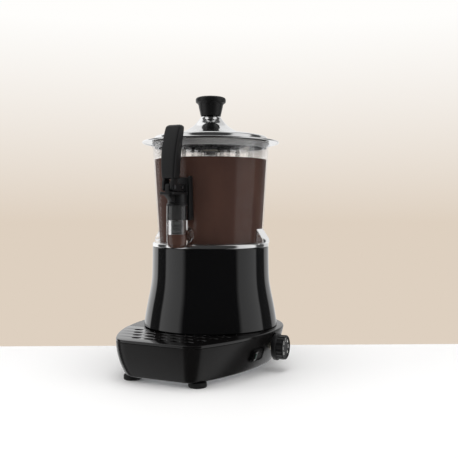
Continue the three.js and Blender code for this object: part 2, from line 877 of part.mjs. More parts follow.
// Heated pan: a ring that shows under the bowl, a seat, a shallow dish and a collar
function pan() {
  const ringInner = columnTopRadius - panSheet;
  const seatInner = columnTopRadius - panSeatWidth;
  const dishOuter = seatInner - panDishSlope;
  const collar = standpipeRadius + boreGap;
  const collarTop = dishTop + panCollarHeight;
  place('heating_pan', revolve([
    [ringInner, panBottom],
    [columnTopRadius, panBottom],
    [columnTopRadius, panTop - panEdgeRound],
    [columnTopRadius - panEdgeRound, panTop],
    [seatInner, panTop],
    [dishOuter, dishTop],
    [collar + panCollarFoot, dishTop],
    [collar + panSheet, dishTop + panCollarFoot],
    [collar + panSheet, collarTop],
    [collar, collarTop],
    [collar, dishBottom],
    [dishOuter, dishBottom],
    [seatInner - panSheet / 2, panTop - panSheet],
    [ringInner, panTop - panSheet],
  ]), polishedSteel);

  place('standpipe', sleeve(standpipeBore, standpipeRadius, standpipeFoot, standpipeTop), polishedSteel);
  const nutTop = dishBottom - seatGap;
  const nut = hexNut(standpipeRadius + boreGap, nutRadius, nutTop - nutThickness, nutTop);
  place('standpipe_nut', nut, brushedSteel);

  const gasketOuter = bowlFootRadius - bowlWall - seatGap;
  place('bowl_gasket', revolve([
    [gasketOuter - gasketWidth, bowlBottom],
    [gasketOuter, bowlBottom],
    [gasketOuter, bowlBottom + gasketHeight],
    [gasketOuter - gasketWidth / 2, bowlBottom + gasketHeight],
    [gasketOuter - gasketWidth, bowlBottom + gasketHeight / 2],
  ]), paleSilicone);
}

// Heating element: one open loop under the dish, both ends turned down
function heatingElement() {
  const height = dishBottom - elementGap - elementTubeRadius;
  const points = [];
  const span = fullTurn - elementOpenAngle * 2;
  for (let i = 0; i <= elementArcPoints; i += 1) {
    const angle = elementOpenAngle + (span * i) / elementArcPoints;
    const [x, y] = [elementLoopRadius * Math.cos(angle), elementLoopRadius * Math.sin(angle)];
    points.push(new THREE.Vector3(x, y, height));
  }
  const [first, last] = [points[0], points.at(-1)];
  const drop = new THREE.Vector3(elementTubeRadius, 0, -elementLegDrop);
  points.unshift(first.clone().add(drop));
  points.push(last.clone().add(drop));
  const path = new THREE.CatmullRomCurve3(points);
  place('heating_element', tube(path, elementTubeRadius, elementSteps, elementSides), brushedSteel);
}

// A round tube along a curve
function tube(path, radius, steps, sides) {
  const ring = arc(0, 0, radius, 0, fullTurn, sides).slice(0, -1);
  const shape = new THREE.Shape(ring.map(([x, y]) => new THREE.Vector2(x, y)));
  return new THREE.ExtrudeGeometry(shape, { steps, extrudePath: path, bevelEnabled: false });
}

// Drive: bracket, gearbox, motor can, bushings and shaft
function drive() {
  const bracketRadius = columnRadius(bracketTop) - columnWall - bracketEdgeGap;
  const vents = [];
  for (let i = 0; i < bracketVentCount; i += 1) {
    const angle = (fullTurn * (i + 1 / 2)) / bracketVentCount;
    vents.push(disc(bracketVentRadius, bracketBottom - overrun, bracketTop + overrun)
      .translate(bracketVentReach * Math.cos(angle), bracketVentReach * Math.sin(angle), 0));
  }
  const ring = sleeve(gearboxBossRadius + boreGap, bracketRadius, bracketBottom, bracketTop, wideFacets);
  place('motor_bracket', surface(cut(solid(ring), vents)), zincSteel);

  const outline = roundedRectangle(gearboxLength, gearboxWidth, gearboxCorner, gearboxOffset, 0);
  const gearbox = join([
    prism(outline, gearboxBottom, gearboxTop),
    disc(gearboxBossRadius, gearboxTop - overrun, bracketTop),
  ]);
  const socket = disc(shaftRadius + boreGap, gearboxTop - shaftSocketDepth, bracketTop + overrun);
  place('gearbox', surface(cut(gearbox, [socket])), paleResin);

  const canTop = gearboxBottom - seatGap;
  const can = disc(motorCanRadius, canTop - motorCanLength, canTop);
  place('motor_can', can, zincSteel).position.x = motorCanOffset;

  const bushingRadius = standpipeBore - boreGap;
  const bore = shaftRadius + boreGap;
  place('upper_bushing', revolve([
    [bore, standpipeTop - bushingLength],
    [bushingRadius, standpipeTop - bushingLength],
    [bushingRadius, standpipeTop + seatGap],
    [standpipeRadius, standpipeTop + seatGap],
    [standpipeRadius, standpipeTop + seatGap + bushingFlange],
    [bore, standpipeTop + seatGap + bushingFlange],
  ], middleFacets), paleResin);
  const lowerTop = standpipeFoot + bushingLength;
  place('lower_bushing', sleeve(bore, bushingRadius, standpipeFoot, lowerTop), paleResin);

  const rod = solid(disc(shaftRadius, shaftFoot, shaftTop, smallFacets));
  place('drive_shaft', surface(cut(rod, [shaftFlat(0)])), brushedSteel).rotation.z = stirrerRestAngle;
}

// The cutter for the flat at the shaft's top, or for the bore that fits it
function shaftFlat(gap) {
  const low = standpipeTop + bushingFlange + seatGap;
  const start = shaftRadius - shaftFlatDepth + gap;
  const reach = shaftRadius + overrun;
  return block([start, -reach, low], [reach, reach, stirrerTop + overrun]);
}

// Stirrer: hub, top bar, two pairs of legs and the leaning blades that sweep the dish
function stirrer() {
  const half = stirrerThickness / 2;
  const hubFoot = stirrerTop - stirrerHubHeight;
  const barLow = hubFoot + seatGap;
  const barTop = barLow + stirrerTopBar;
  const bladeLow = panTop + stirrerFloorGap;
  const legTop = barLow + stirrerTopBar / 2;
  const solids = [
    disc(stirrerHubRadius, hubFoot, stirrerTop, middleFacets),
    block([-stirrerLegOuter, -half, barLow], [stirrerLegOuter, half, barTop]),
  ];
  for (const side of [-1, 1]) {
    const legs = [stirrerLegInner, stirrerLegOuter - stirrerBarWidth];
    for (const start of legs) {
      const ends = [side * start, side * (start + stirrerBarWidth)].sort((a, b) => a - b);
      solids.push(block([ends[0], -half, bladeLow + half], [ends[1], half, legTop]));
    }
    const bladeEnds = [side * stirrerLegInner, side * stirrerBladeReach].sort((a, b) => a - b);
    const rise = stirrerBladeHeight / 2;
    const blade = block([bladeEnds[0], -half, -rise], [bladeEnds[1], half, rise]);
    solids.push(blade.rotateX(side * stirrerBladeLean).translate(0, 0, bladeLow + rise));
  }
  const boreTop = stirrerTop - stirrerCapThickness;
  const bore = disc(shaftRadius + boreGap, hubFoot - overrun, boreTop, smallFacets);
  const keyed = solid(bore).subtract(solid(shaftFlat(boreGap)));
  place('stirrer', surface(join(solids).subtract(keyed)), moulded).rotation.z = stirrerRestAngle;
}

// The bowl's outer radius at a height
function bowlRadius(height) {
  const share = (height - bowlBottom) / bowlHeight;
  return bowlFootRadius + (bowlRimRadius - bowlFootRadius) * share;
}

// Clear bowl: a tapered wall with a lip, a socket for the outlet tube, two rails and two side lugs
function bowl() {
  const lipLow = bowlTop - bowlLipHeight;
  const lipRadius = bowlRimRadius + bowlLipReach;
  const outline = [
    [bowlFootRadius - bowlWall, bowlBottom],
    [bowlFootRadius, bowlBottom],
    [bowlRadius(lipLow - bowlLipReach), lipLow - bowlLipReach],
    [lipRadius, lipLow],
    [lipRadius, bowlTop - bowlLipRound],
    [lipRadius - bowlLipRound, bowlTop],
    [bowlRimRadius - bowlWall + bowlLipRound, bowlTop],
    [bowlRimRadius - bowlWall, bowlTop - bowlLipRound],
  ];
  const socketMouth = tubeRear() - seatGap;
  const socketOuter = alongY(disc(socketRadius, -socketMouth, -bowlFootRadius + bowlWall * 2))
    .translate(0, 0, stubHeight);
  const railInner = blockHalfWidth + slideGap;
  const additions = [socketOuter];
  for (const side of [-1, 1]) {
    const railEnds = [side * railInner, side * (railInner + railWidth)].sort((a, b) => a - b);
    const railRoot = bowlFootRadius - bowlWall;
    additions.push(block([railEnds[0], -railReach, railBottom], [railEnds[1], -railRoot, railTop]));
    additions.push(sideLug(side));
  }
  const inside = revolve([
    [0, bowlBottom - overrun],
    [bowlFootRadius - bowlWall, bowlBottom - overrun],
    [bowlFootRadius - bowlWall, bowlBottom],
    [bowlRimRadius - bowlWall, bowlTop],
    [0, bowlTop],
  ]);
  const stubSocket = alongY(disc(stubRadius + socketGap, -socketMouth - overrun, -socketMouth + socketDepth))
    .translate(0, 0, stubHeight);
  const port = alongY(disc(stubBore, -socketMouth - overrun, overrun - bowlFootRadius + socketDepth))
    .translate(0, 0, stubHeight);
  const shell = solid(revolve(outline)).add(cut(join(additions), [inside]));
  place('bowl', surface(cut(shell, [stubSocket, port])), clearPlastic);
}

// A clear lug on the bowl's side that flares out over the pan's ring
function sideLug(side) {
  const root = bowlFootRadius - bowlWall;
  const outline = [
    [root, bowlBottom],
    [lugBottomReach, bowlBottom],
    [lugBottomReach, bowlBottom + lugBandHeight],
    [bowlRadius(bowlBottom + lugTopHeight), bowlBottom + lugTopHeight],
    [root, bowlBottom + lugTopHeight],
  ];
  const lug = prism(outline, -lugWidth / 2, lugWidth / 2).rotateX(quarterTurn);
  return lug.rotateZ(side > 0 ? 0 : halfTurn);
}

// How far forward the back of the outlet tube lies
function tubeRear() {
  return tubeAxisReach - tubeRadius;
}

// Outlet tube: a clear thick-walled tube with a round end, a seat for the seal and a side stub
function outletTube() {
  const endX = tubeRadius - tubeEndRound;
  const end = arc(endX, tubeBottom + tubeEndRound, tubeEndRound, -quarterTurn, 0, roundSteps * 2);
  const profile = [[0, tubeBottom], ...end, [tubeRadius, tubeTop], [0, tubeTop]];
  const stubBack = tubeRear() - socketDepth + seatGap;
  const outer = join([
    revolve(profile, middleFacets),
    alongY(disc(stubRadius, 0, tubeAxisReach - stubBack)).translate(0, 0, stubHeight),
  ]);
  const step = tubeTop - tubeCounterboreDepth;
  const seat = tubeBottom + outletHeight;
  const bore = revolve([
    [0, tubeBottom - overrun],
    [outletRadius, tubeBottom - overrun],
    [outletRadius, seat],
    [tubeBore, seat + outletSeatHeight],
    [tubeBore, step],
    [sleeveRadius + boreGap, step],
    [sleeveRadius + boreGap, tubeTop + overrun],
    [0, tubeTop + overrun],
  ], middleFacets);
  const side = alongY(disc(stubBore, 0, tubeAxisReach)).translate(0, 0, stubHeight);
  place('outlet_tube', surface(cut(outer, [bore, side])), clearPlastic).position.y = -tubeAxisReach;
}

// Tap body: a sleeve in the tube's mouth, a ledge with its gusset and ear, and the block in the rails
function tapBody() {
  const sleeveFoot = tubeTop - tubeCounterboreDepth + seatGap;
  const ledgeTop = sleeveTop + ledgeThickness;
  const [left, right] = [-ledgeHalfWidth, ledgeHalfWidth];
  const nose = ledgeHalfWidth - ledgeNose;
  const ledgeOutline = [
    [left, -blockBack], [left, -ledgeReach + ledgeNose], [-nose, -ledgeReach],
    [nose, -ledgeReach], [right, -ledgeReach + ledgeNose], [right, -blockBack],
  ];
  const collarTop = tubeTop + seatGap + collarHeight;
  const gussetRoot = -tubeAxisReach - sleeveRadius / 2;
  const gusset = [
    [gussetRoot, collarTop],
    [-tubeAxisReach - sleeveRadius, collarTop],
    [-ledgeReach + ledgeNose / 2, sleeveTop],
    [gussetRoot, sleeveTop],
  ];
  const ear = [
    ...arc(-pivotReach, pivotHeight, earRadius, 0, halfTurn, roundSteps * 2),
    [-pivotReach - earRadius, sleeveTop],
    [-pivotReach + earRadius, sleeveTop],
  ];
  const blockOutline = roundedRectangle(
    blockHalfWidth * 2, blockDepth, blockCorner, 0, -blockBack - blockDepth / 2,
  );
  const web = block(
    [-blockHalfWidth / 2, -tubeAxisReach, collarTop],
    [blockHalfWidth / 2, -blockBack - blockCorner, sleeveTop],
  );
  const body = join([
    disc(sleeveRadius, sleeveFoot, sleeveTop + ledgeThickness / 2).translate(0, -tubeAxisReach, 0),
    disc(collarRadius, tubeTop + seatGap, collarTop).translate(0, -tubeAxisReach, 0),
    prism(ledgeOutline, sleeveTop, ledgeTop),
    sidePlate(gusset, -gussetHalfWidth, gussetHalfWidth),
    sidePlate(ear, -earHalfWidth, earHalfWidth),
    prism(blockOutline, blockFoot, blockTop),
    web,
  ]);
  const cutters = [
    disc(sleeveBore, sleeveFoot - overrun, sleeveTop - sleeveCapThickness).translate(0, -tubeAxisReach, 0),
    disc(stemRadius + boreGap, sleeveFoot, ledgeTop + overrun, smallFacets).translate(0, -tubeAxisReach, 0),
    alongX(disc(pinRadius + boreGap, -ledgeHalfWidth, ledgeHalfWidth, smallFacets))
      .translate(0, -pivotReach, pivotHeight),
    ledgeTrim(ledgeTop, -1),
    ledgeTrim(ledgeTop, 1),
  ];
  place('tap_body', surface(cut(body, cutters)), moulded);
}

// The ledge is cut back beside the block, where the bowl's rails run
function ledgeTrim(ledgeTop, side) {
  const ends = [side * blockHalfWidth, side * (ledgeHalfWidth + overrun)].sort((a, b) => a - b);
  return block(
    [ends[0], -railReach - slideGap, sleeveTop - overrun],
    [ends[1], -blockBack + overrun, ledgeTop + overrun],
  );
}

// Piston with its seal plug, two rings, cross pin and spring
function piston() {
  const groove = pistonRadius - pistonGrooveDepth;
  const ringLows = [pistonFoot + ringInset, pistonTop - ringInset - ringWidth];
  const profile = [[0, pistonFoot], [pistonRadius, pistonFoot]];
  for (const low of ringLows) {
    const high = low + ringWidth;
    profile.push([pistonRadius, low], [groove, low], [groove, high], [pistonRadius, high]);
  }
  profile.push(
    [pistonRadius, pistonTop - pistonShoulder],
    [pistonRadius - pistonShoulder, pistonTop],
    [stemRadius, pistonTop],
    [stemRadius, stemHeadFoot + stemRadius],
    [0, stemHeadFoot + stemRadius],
  );
  const headTop = pivotHeight + stemHeadRise;
  const head = block(
    [-stemHeadHalfWidth, -stemHeadDepth / 2, stemHeadFoot],
    [stemHeadHalfWidth, stemHeadDepth / 2, headTop],
  );
  const pinHole = alongX(disc(pinRadius + boreGap, -overrun, overrun, smallFacets))
    .translate(0, 0, pivotHeight);
  const column = cut(join([revolve(profile, middleFacets), head]), [pinHole]);
  place('tap_piston', surface(column), moulded).position.y = -tubeAxisReach;

  const ringOuter = tubeBore - boreGap;
  ringLows.forEach((low, i) => {
    const inner = groove + ringGap;
    const ring = revolve([
      [inner, low + ringGap],
      [pistonRadius, low + ringGap],
      [ringOuter, low + ringWidth / 2],
      [pistonRadius, low + ringWidth - ringGap],
      [inner, low + ringWidth - ringGap],
    ], middleFacets);
    place(['lower_piston_ring', 'upper_piston_ring'][i], ring, rubber).position.y = -tubeAxisReach;
  });

  place('piston_seal', revolve([
    [0, sealPlugBottom],
    [sealTipRadius, sealPlugBottom],
    [pistonRadius, sealPlugBottom + sealConeHeight],
    [pistonRadius, pistonFoot - seatGap],
    [0, pistonFoot - seatGap],
  ], middleFacets), darkSilicone).position.y = -tubeAxisReach;

  const pin = alongX(disc(pinRadius, -crossPinHalfLength, crossPinHalfLength, smallFacets));
  place('piston_cross_pin', pin, brushedSteel).position.set(0, -tubeAxisReach, pivotHeight);
  tapSpring();
}

// The spring is one unbroken wire, wound between the piston's shoulder and the sleeve's cap
function tapSpring() {
  const low = pistonTop + seatGap + springWire;
  const high = sleeveTop - sleeveCapThickness - seatGap - springWire;
  const steps = springTurns * springStepsPerTurn;
  const points = [];
  for (let i = 0; i <= steps; i += 1) {
    const angle = (fullTurn * i) / springStepsPerTurn;
    const height = low + ((high - low) * i) / steps;
    const [x, y] = [springRadius * Math.cos(angle), springRadius * Math.sin(angle)];
    points.push(new THREE.Vector3(x, y, height));
  }
  const wire = tube(new THREE.CatmullRomCurve3(points), springWire, steps, springSides);
  place('tap_spring', wire, brushedSteel).position.y = -tubeAxisReach;
  console.log(`tap_spring: least gap between turns ${leastTurnGap(points).toFixed(2)} mm`);
}

// The smallest distance between points at least half a turn apart, less the wire's thickness
function leastTurnGap(points) {
  let least = Infinity;
  for (let i = 0; i < points.length; i += 1) {
    for (let k = i + springStepsPerTurn / 2; k < points.length; k += 1) {
      least = Math.min(least, points[i].distanceTo(points[k]));
    }
  }
  return least - springWire * 2;
}

// Lever: two cheeks with a fork for the cross pin, and a rounded grip that leans back to the top
function lever() {
  const [y, z] = [-pivotReach, pivotHeight];
  const cheek = [
    ...arc(y, z, cheekEyeRadius, halfTurn, halfTurn + quarterTurn, roundSteps * 2),
    [y + forkReach, z - cheekEyeRadius],
    [y + forkReach, z + cheekEyeRadius],
    [-gripFootReach + cheekShoulder + cheekEyeRadius, z + cheekEyeRadius],
    [-gripFootReach + cheekShoulder, z + cheekEyeRadius * 2],
    [-gripFootReach + cheekShoulder, cheekTop],
    [-gripFootReach - cheekShoulder, cheekTop],
  ];
  const half = forkSlotHalfHeight;
  const slot = [
    ...arc(y + forkSlotStart + half, z, half, quarterTurn, halfTurn + quarterTurn, roundSteps * 2),
    [y + forkReach + overrun, z - half],
    [y + forkReach + overrun, z + half],
  ];
  const body = join([
    sidePlate(cheek, cheekInner, cheekOuter),
    sidePlate(cheek, -cheekOuter, -cheekInner),
    grip(),
  ]);
  const cutters = [
    sidePlate(slot, -cheekOuter - overrun, cheekOuter + overrun),
    alongX(disc(pinRadius + boreGap, -cheekOuter - overrun, cheekOuter + overrun, smallFacets))
      .translate(0, y, z),
  ];
  place('lever', surface(cut(body, cutters)), moulded);

  const headInner = cheekOuter + seatGap;
  const headOuter = headInner + pinHeadThickness;
  const pin = revolve([
    [0, -headOuter],
    [pinHeadRadius, -headOuter],
    [pinHeadRadius, -headInner],
    [pinRadius, -headInner],
    [pinRadius, headInner],
    [pinHeadRadius, headInner],
    [pinHeadRadius, headOuter],
    [0, headOuter],
  ], smallFacets);
  place('lever_pin', alongX(pin), brushedSteel).position.set(0, y, z);
}

// The grip's sections are squared ovals that follow the shares of width, thickness and height
function grip() {
  const rings = gripHeightShares.map((share, i) => {
    const height = gripFoot + (gripTop - gripFoot) * share;
    const lean = gripFootReach + (gripTopReach - gripFootReach) * share;
    const centre = -lean - gripBow * Math.sin(halfTurn * share);
    const halfWidth = (gripWidth * gripWidthShares[i]) / 2;
    const halfThickness = (gripThickness * gripThicknessShares[i]) / 2;
    return squaredOval(halfWidth, halfThickness).map(([x, dy]) => [x, centre + dy, height]);
  });
  return loft(rings);
}

function squaredOval(halfWidth, halfThickness) {
  const power = 2 / gripSquareness;
  const points = [];
  for (let i = 0; i < gripSectionPoints; i += 1) {
    const angle = (fullTurn * (i + 1 / 2)) / gripSectionPoints;
    const [c, s] = [Math.cos(angle), Math.sin(angle)];
    points.push([
      halfWidth * Math.sign(c) * Math.abs(c) ** power,
      halfThickness * Math.sign(s) * Math.abs(s) ** power,
    ]);
  }
  return points;
}

// The lid's upper line from its crown to its brim, as [radius, height] points
function lidLine() {
  const keys = lidRadiusShares.map((share, i) => new THREE.Vector2(
    lidCrownRadius + (lidRadius - lidCrownRadius) * share,
    lidBrimHeight + (lidCrownHeight - lidBrimHeight) * lidRiseShares[i],
  ));
  return new THREE.SplineCurve(keys).getPoints(lidSteps).map(({ x, y }) => [x, y]);
}

// The height of the lid's underside at a radius
function lidUnderside(radius) {
  const line = lidLine();
  const i = line.findIndex(([r]) => r > radius);
  const [[r0, z0], [r1, z1]] = [line[i - 1], line[i]];
  return z0 + ((z1 - z0) * (radius - r0)) / (r1 - r0) - lidSheet;
}

// Lid: a spun steel hat with a hemmed brim, its skirt ring and its seal
function lid() {
  const line = lidLine();
  const under = line.map(([radius, height]) => [radius, height - lidSheet]).reverse();
  const crownUnder = lidCrownHeight - lidSheet;
  const hole = knobScrewRadius + boreGap;
  place('lid', revolve([
    [hole, lidCrownHeight],
    [lidCrownRadius, lidCrownHeight],
    ...line,
    [lidRadius, lidBrimHeight - lidSheet / 2],
    [lidRadius, lidBrimHeight - lidHem],
    [lidRadius - lidSheet, lidBrimHeight - lidHem],
    [lidRadius - lidSheet, lidBrimHeight - lidSheet],
    ...under.slice(1),
    [lidCrownRadius, crownUnder],
    [hole, crownUnder],
  ]), polishedSteel);

  const skirtTop = lidUnderside(skirtRadius) - seatGap;
  const ring = sleeve(skirtRadius - lidSheet, skirtRadius, skirtTop - skirtDepth, skirtTop, wideFacets);
  place('lid_skirt', ring, brushedSteel);

  const sealInner = skirtRadius + seatGap;
  const sealFoot = bowlTop + seatGap;
  const plug = bowlRimRadius - bowlWall - bowlLipRound;
  const sealOuter = plug + sealLip;
  place('lid_seal', revolve([
    [sealInner, sealFoot - sealPlugDepth],
    [plug, sealFoot - sealPlugDepth],
    [plug, sealFoot],
    [sealOuter, sealFoot],
    [sealOuter, lidUnderside(sealOuter) - seatGap],
    [sealInner, lidUnderside(sealInner + sealLip) - seatGap],
  ]), rubber);
}

// Knob on the lid's crown, and the screw that holds it from below
function knob() {
  const foot = lidCrownHeight + seatGap;
  const screwTop = foot + knobScrewBite;
  place('lid_knob', revolve([
    [0, screwTop + seatGap],
    [knobScrewRadius, screwTop + seatGap],
    [knobScrewRadius, foot],
    ...knobRadiusShares.map((share, i) => [knobRadius * share, foot + knobHeight * knobRiseShares[i]]),
  ], middleFacets), moulded);

  const shank = knobScrewRadius - boreGap;
  const headTop = lidCrownHeight - lidSheet - seatGap;
  place('knob_screw', revolve([
    [0, headTop - screwHeadHeight],
    [knobScrewHead, headTop - screwHeadHeight],
    [knobScrewHead, headTop],
    [shank, headTop],
    [shank, screwTop],
    [0, screwTop],
  ], smallFacets), zincSteel);
}

// Thermostat inside the base, its spindle, and the ribbed dial outside
function thermostat() {
  const [dy, dz] = [thermostatWidth / 2, thermostatHeight / 2];
  const boxed = block([thermostatFace - thermostatLength, -dy, -dz], [thermostatFace, dy, dz]);
  const bushingTip = dialReachX - seatGap;
  const bushing = alongX(disc(dialBushingRadius, thermostatFace - overrun, bushingTip, smallFacets));
  const spindleFoot = thermostatFace - dialShaftBite;
  const bore = alongX(disc(dialShaftRadius + boreGap, spindleFoot, dialReachX + overrun));
  const body = cut(join([boxed, bushing]), [bore]);
  place('thermostat_body', surface(body), paleResin).position.set(0, -dialBack, dialHeight);

  const spindleTip = dialReachX + dialShaftBite;
  const spindle = alongX(disc(dialShaftRadius, spindleFoot + seatGap, spindleTip, smallFacets));
  place('thermostat_spindle', spindle, brushedSteel).position.set(0, -dialBack, dialHeight);

  const radii = [
    [dialRearRadius - dialEdgeRound / 2, 0],
    [dialRearRadius, dialEdgeRound / 2],
    [dialRadius, dialLength - dialEdgeRound],
    [dialRadius - dialEdgeRound, dialLength],
  ];
  const count = dialRibs * dialRibPoints;
  const rings = radii.map(([radius, height]) => {
    const ring = [];
    for (let i = 0; i < count; i += 1) {
      const angle = (fullTurn * i) / count;
      const reach = radius - (dialRibDepth * (1 + Math.cos(angle * dialRibs))) / 2;
      ring.push([reach * Math.cos(angle), reach * Math.sin(angle), height]);
    }
    return ring;
  });
  const face = disc(dialFaceRadius, dialLength - dialFaceRecess, dialLength + overrun);
  const socket = disc(dialShaftRadius + boreGap, -overrun, dialShaftBite + seatGap, smallFacets);
  const cap = surface(cut(solid(loft(rings)), [face, socket]));
  place('dial_knob', alongX(cap), moulded).position.set(dialReachX, -dialBack, dialHeight);
}

// The switch's own frame: its X runs back along the wall, its Y up and its Z out of the wall
function switchFrame() {
  const y = -switchBack;
  const at = (dy, dz) => new THREE.Vector3(wallX(y + dy, switchHeight + dz), y + dy, switchHeight + dz);
  const alongWall = at(1, 0).sub(at(-1, 0)).normalize();
  const upWall = at(0, 1).sub(at(0, -1)).normalize();
  const out = alongWall.clone().cross(upWall).normalize();
  const up = out.clone().cross(alongWall);
  const frame = new THREE.Matrix4().makeBasis(alongWall, up, out);
  return frame.setPosition(at(0, 0).addScaledVector(out, bezelLift));
}

// The opening that the switch needs in the wall
function switchCutter() {
  const size = roundedRectangle(bezelBodyLength + slideGap, bezelBodyWidth + slideGap, switchCorner);
  return prism(size, -bezelBodyDepth, overrun).applyMatrix4(switchFrame());
}

// Rocker switch: bezel with its body, rocker, and the small lens in the rocker
function rockerSwitch() {
  const group = new THREE.Group();
  group.applyMatrix4(switchFrame());
  machine.add(group);
  const insert = roundedRectangle(bezelBodyLength, bezelBodyWidth, switchCorner);
  const shell = join([
    prism(roundedRectangle(bezelLength, bezelWidth, bezelCorner), 0, bezelThickness),
    prism(insert, -bezelBodyDepth, bezelThickness / 2),
  ]);
  const window = prism(
    roundedRectangle(windowLength, windowWidth, switchCorner),
    bezelThickness - windowDepth,
    bezelThickness + overrun,
  );
  place('switch_bezel', surface(cut(shell, [window])), glossBlack, group);

  const tilt = new THREE.Group();
  tilt.position.z = bezelThickness / 2;
  tilt.rotation.y = rockerRestAngle;
  group.add(tilt);
  const outline = [
    [-rockerHalfLength, rockerCrest],
    [-rockerHalfLength, -rockerDepth / 2],
    [-rockerHalfLength / 2, -rockerDepth],
    [rockerHalfLength / 2, -rockerDepth],
    [rockerHalfLength, -rockerDepth / 2],
    [rockerHalfLength, rockerCrest],
    [0, rockerDip],
  ];
  const rocker = prism(outline, -rockerHalfWidth, rockerHalfWidth).rotateX(quarterTurn);
  const lensTop = rockerCrest + seatGap;
  const pocket = block(
    [-lensPlace - lensLength / 2 - boreGap, -lensWidth / 2 - boreGap, lensTop - lensDepth - seatGap],
    [-lensPlace + lensLength / 2 + boreGap, lensWidth / 2 + boreGap, lensTop + overrun],
  );
  place('switch_rocker', surface(cut(solid(rocker), [pocket])), satinBlack, tilt);
  place('pilot_lens', block(
    [-lensPlace - lensLength / 2, -lensWidth / 2, lensTop - lensDepth],
    [-lensPlace + lensLength / 2, lensWidth / 2, lensTop],
  ), greenLens, tilt);
}

// Cable gland through the back wall, with its nut inside
function cableGland() {
  const face = glandFace + seatGap;
  const gland = revolve([
    [glandBore, face - glandThreadLength],
    [glandThreadRadius, face - glandThreadLength],
    [glandThreadRadius, face],
    [glandFlangeRadius, face],
    [glandFlangeRadius, face + glandFlange],
    [glandTipRadius + glandTipTaper, face + glandFlange],
    [glandTipRadius, face + glandLength],
    [glandBore, face + glandLength],
  ], middleFacets);
  place('cable_gland', alongY(gland), moulded).position.z = glandHeight;
  const wallShare = (glandHeight - glandNutRadius - footHeight) / baseHeight;
  const nutFace = baseRearRadius - baseSideDraft * (1 - wallShare) - baseWall - seatGap;
  const nut = hexNut(glandThreadRadius + boreGap, glandNutRadius, nutFace - glandNutThickness, nutFace);
  place('gland_nut', alongY(nut), moulded).position.z = glandHeight;
}

baseHousing();
underside();
dripParts();
column();
pan();
heatingElement();
drive();
stirrer();
bowl();
outletTube();
tapBody();
piston();
lever();
lid();
knob();
thermostat();
rockerSwitch();
cableGland();

// The origin is on the surface that the feet stand on, under the middle of the whole part
const bounds = new THREE.Box3().setFromObject(dispenser, true);
machine.position.set(-(bounds.min.x + bounds.max.x) / 2, -(bounds.min.y + bounds.max.y) / 2, 0);

export default dispenser;
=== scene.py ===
import json
import math

import bmesh
import bpy
import numpy as np
from mathutils import Matrix, Vector

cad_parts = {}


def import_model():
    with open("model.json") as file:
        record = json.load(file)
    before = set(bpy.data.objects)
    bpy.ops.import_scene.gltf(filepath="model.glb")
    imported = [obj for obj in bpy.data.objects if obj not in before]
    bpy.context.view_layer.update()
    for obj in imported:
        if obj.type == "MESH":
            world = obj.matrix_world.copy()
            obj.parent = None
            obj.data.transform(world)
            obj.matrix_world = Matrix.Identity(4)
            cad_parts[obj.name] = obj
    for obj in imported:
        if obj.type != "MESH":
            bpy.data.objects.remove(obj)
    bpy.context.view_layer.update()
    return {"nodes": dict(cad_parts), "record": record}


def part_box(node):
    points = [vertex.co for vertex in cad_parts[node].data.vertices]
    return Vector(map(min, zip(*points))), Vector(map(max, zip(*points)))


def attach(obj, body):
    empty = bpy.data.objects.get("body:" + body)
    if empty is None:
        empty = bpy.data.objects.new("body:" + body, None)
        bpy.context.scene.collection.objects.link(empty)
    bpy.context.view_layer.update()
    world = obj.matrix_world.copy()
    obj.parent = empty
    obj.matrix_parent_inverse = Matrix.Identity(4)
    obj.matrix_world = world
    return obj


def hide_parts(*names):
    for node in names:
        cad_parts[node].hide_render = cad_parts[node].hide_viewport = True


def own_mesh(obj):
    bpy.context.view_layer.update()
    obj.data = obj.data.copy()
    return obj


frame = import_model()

# The working frame is in millimetres about the bowl's axis, and the pack's frame is in metres
MM = 0.001
FULL = 2 * math.pi
AXIS = np.append(sum(np.array(c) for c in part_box("column_housing"))[:2] / 2 / MM, 0)


def corners(node):
    """A CAD node's lowest and highest corner in the working frame."""
    return [np.array(corner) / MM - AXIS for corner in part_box(node)]


def heights(node):
    """A CAD node's lowest and highest point above the counter."""
    low, high = corners(node)
    return low[2], high[2]


def widest(node):
    """The largest distance of a CAD node's points from the bowl's axis."""
    mesh = frame["nodes"][node].data
    points = np.zeros(len(mesh.vertices) * 3)
    mesh.vertices.foreach_get("co", points)
    x, y, _ = (points.reshape(-1, 3) / MM - AXIS).T
    return float(np.hypot(x, y).max())


# Camera, fitted to the photograph
CAMERA_PLACE = Vector((459.605, -932.933, 236.137))
CAMERA_LOOK = Vector((-0.41743681, 0.90818242, -0.03084153))
CAMERA_ROLL = math.radians(0.063)
CAMERA_LENS = 53.344

# Fineness of the round forms
ROUND = 160
SMALL_ROUND = 72
EDGE_STEPS = 5

# Base housing
BASE_LOW, BASE_HIGH = heights("base_housing")
BASE_REAR = 111.8
BASE_SIDE = 300.0
BASE_FRONT = 171.0
BASE_CORNER = 28.0
SIDE_DRAFT = 18.0
FRONT_DRAFT = 12.0
CORNER_DRAFT = 6.0
SIDE_EASING = 15.0
BULGE = 2.3
BULGE_AT_DIAL = 1.35
BASE_WALL = 3.0
BASE_EDGE = 2.2
GRID_LINE = -70.0
GRID_LOW = BASE_HIGH - 3.8
SEAM = 0.3
DECK_RADIUS = 84.0
REAR_STEPS, SIDE_STEPS, CORNER_STEPS = 60, 26, 14

# Drip grid
SLOT_PITCH = 20.0
SLOT_ROW_PITCH = 18.0
SLOT_LENGTH = 13.0
SLOT_WIDTH = 9.0
SLOT_CORNER = 5.44
SLOT_FIRST_ROW = -148.0
SLOT_ROWS = 5
SLOT_COLUMNS = 9
GRID_MARGIN = 12.0
GRID_GAP = 0.6
SLOT_LAND = 2.0

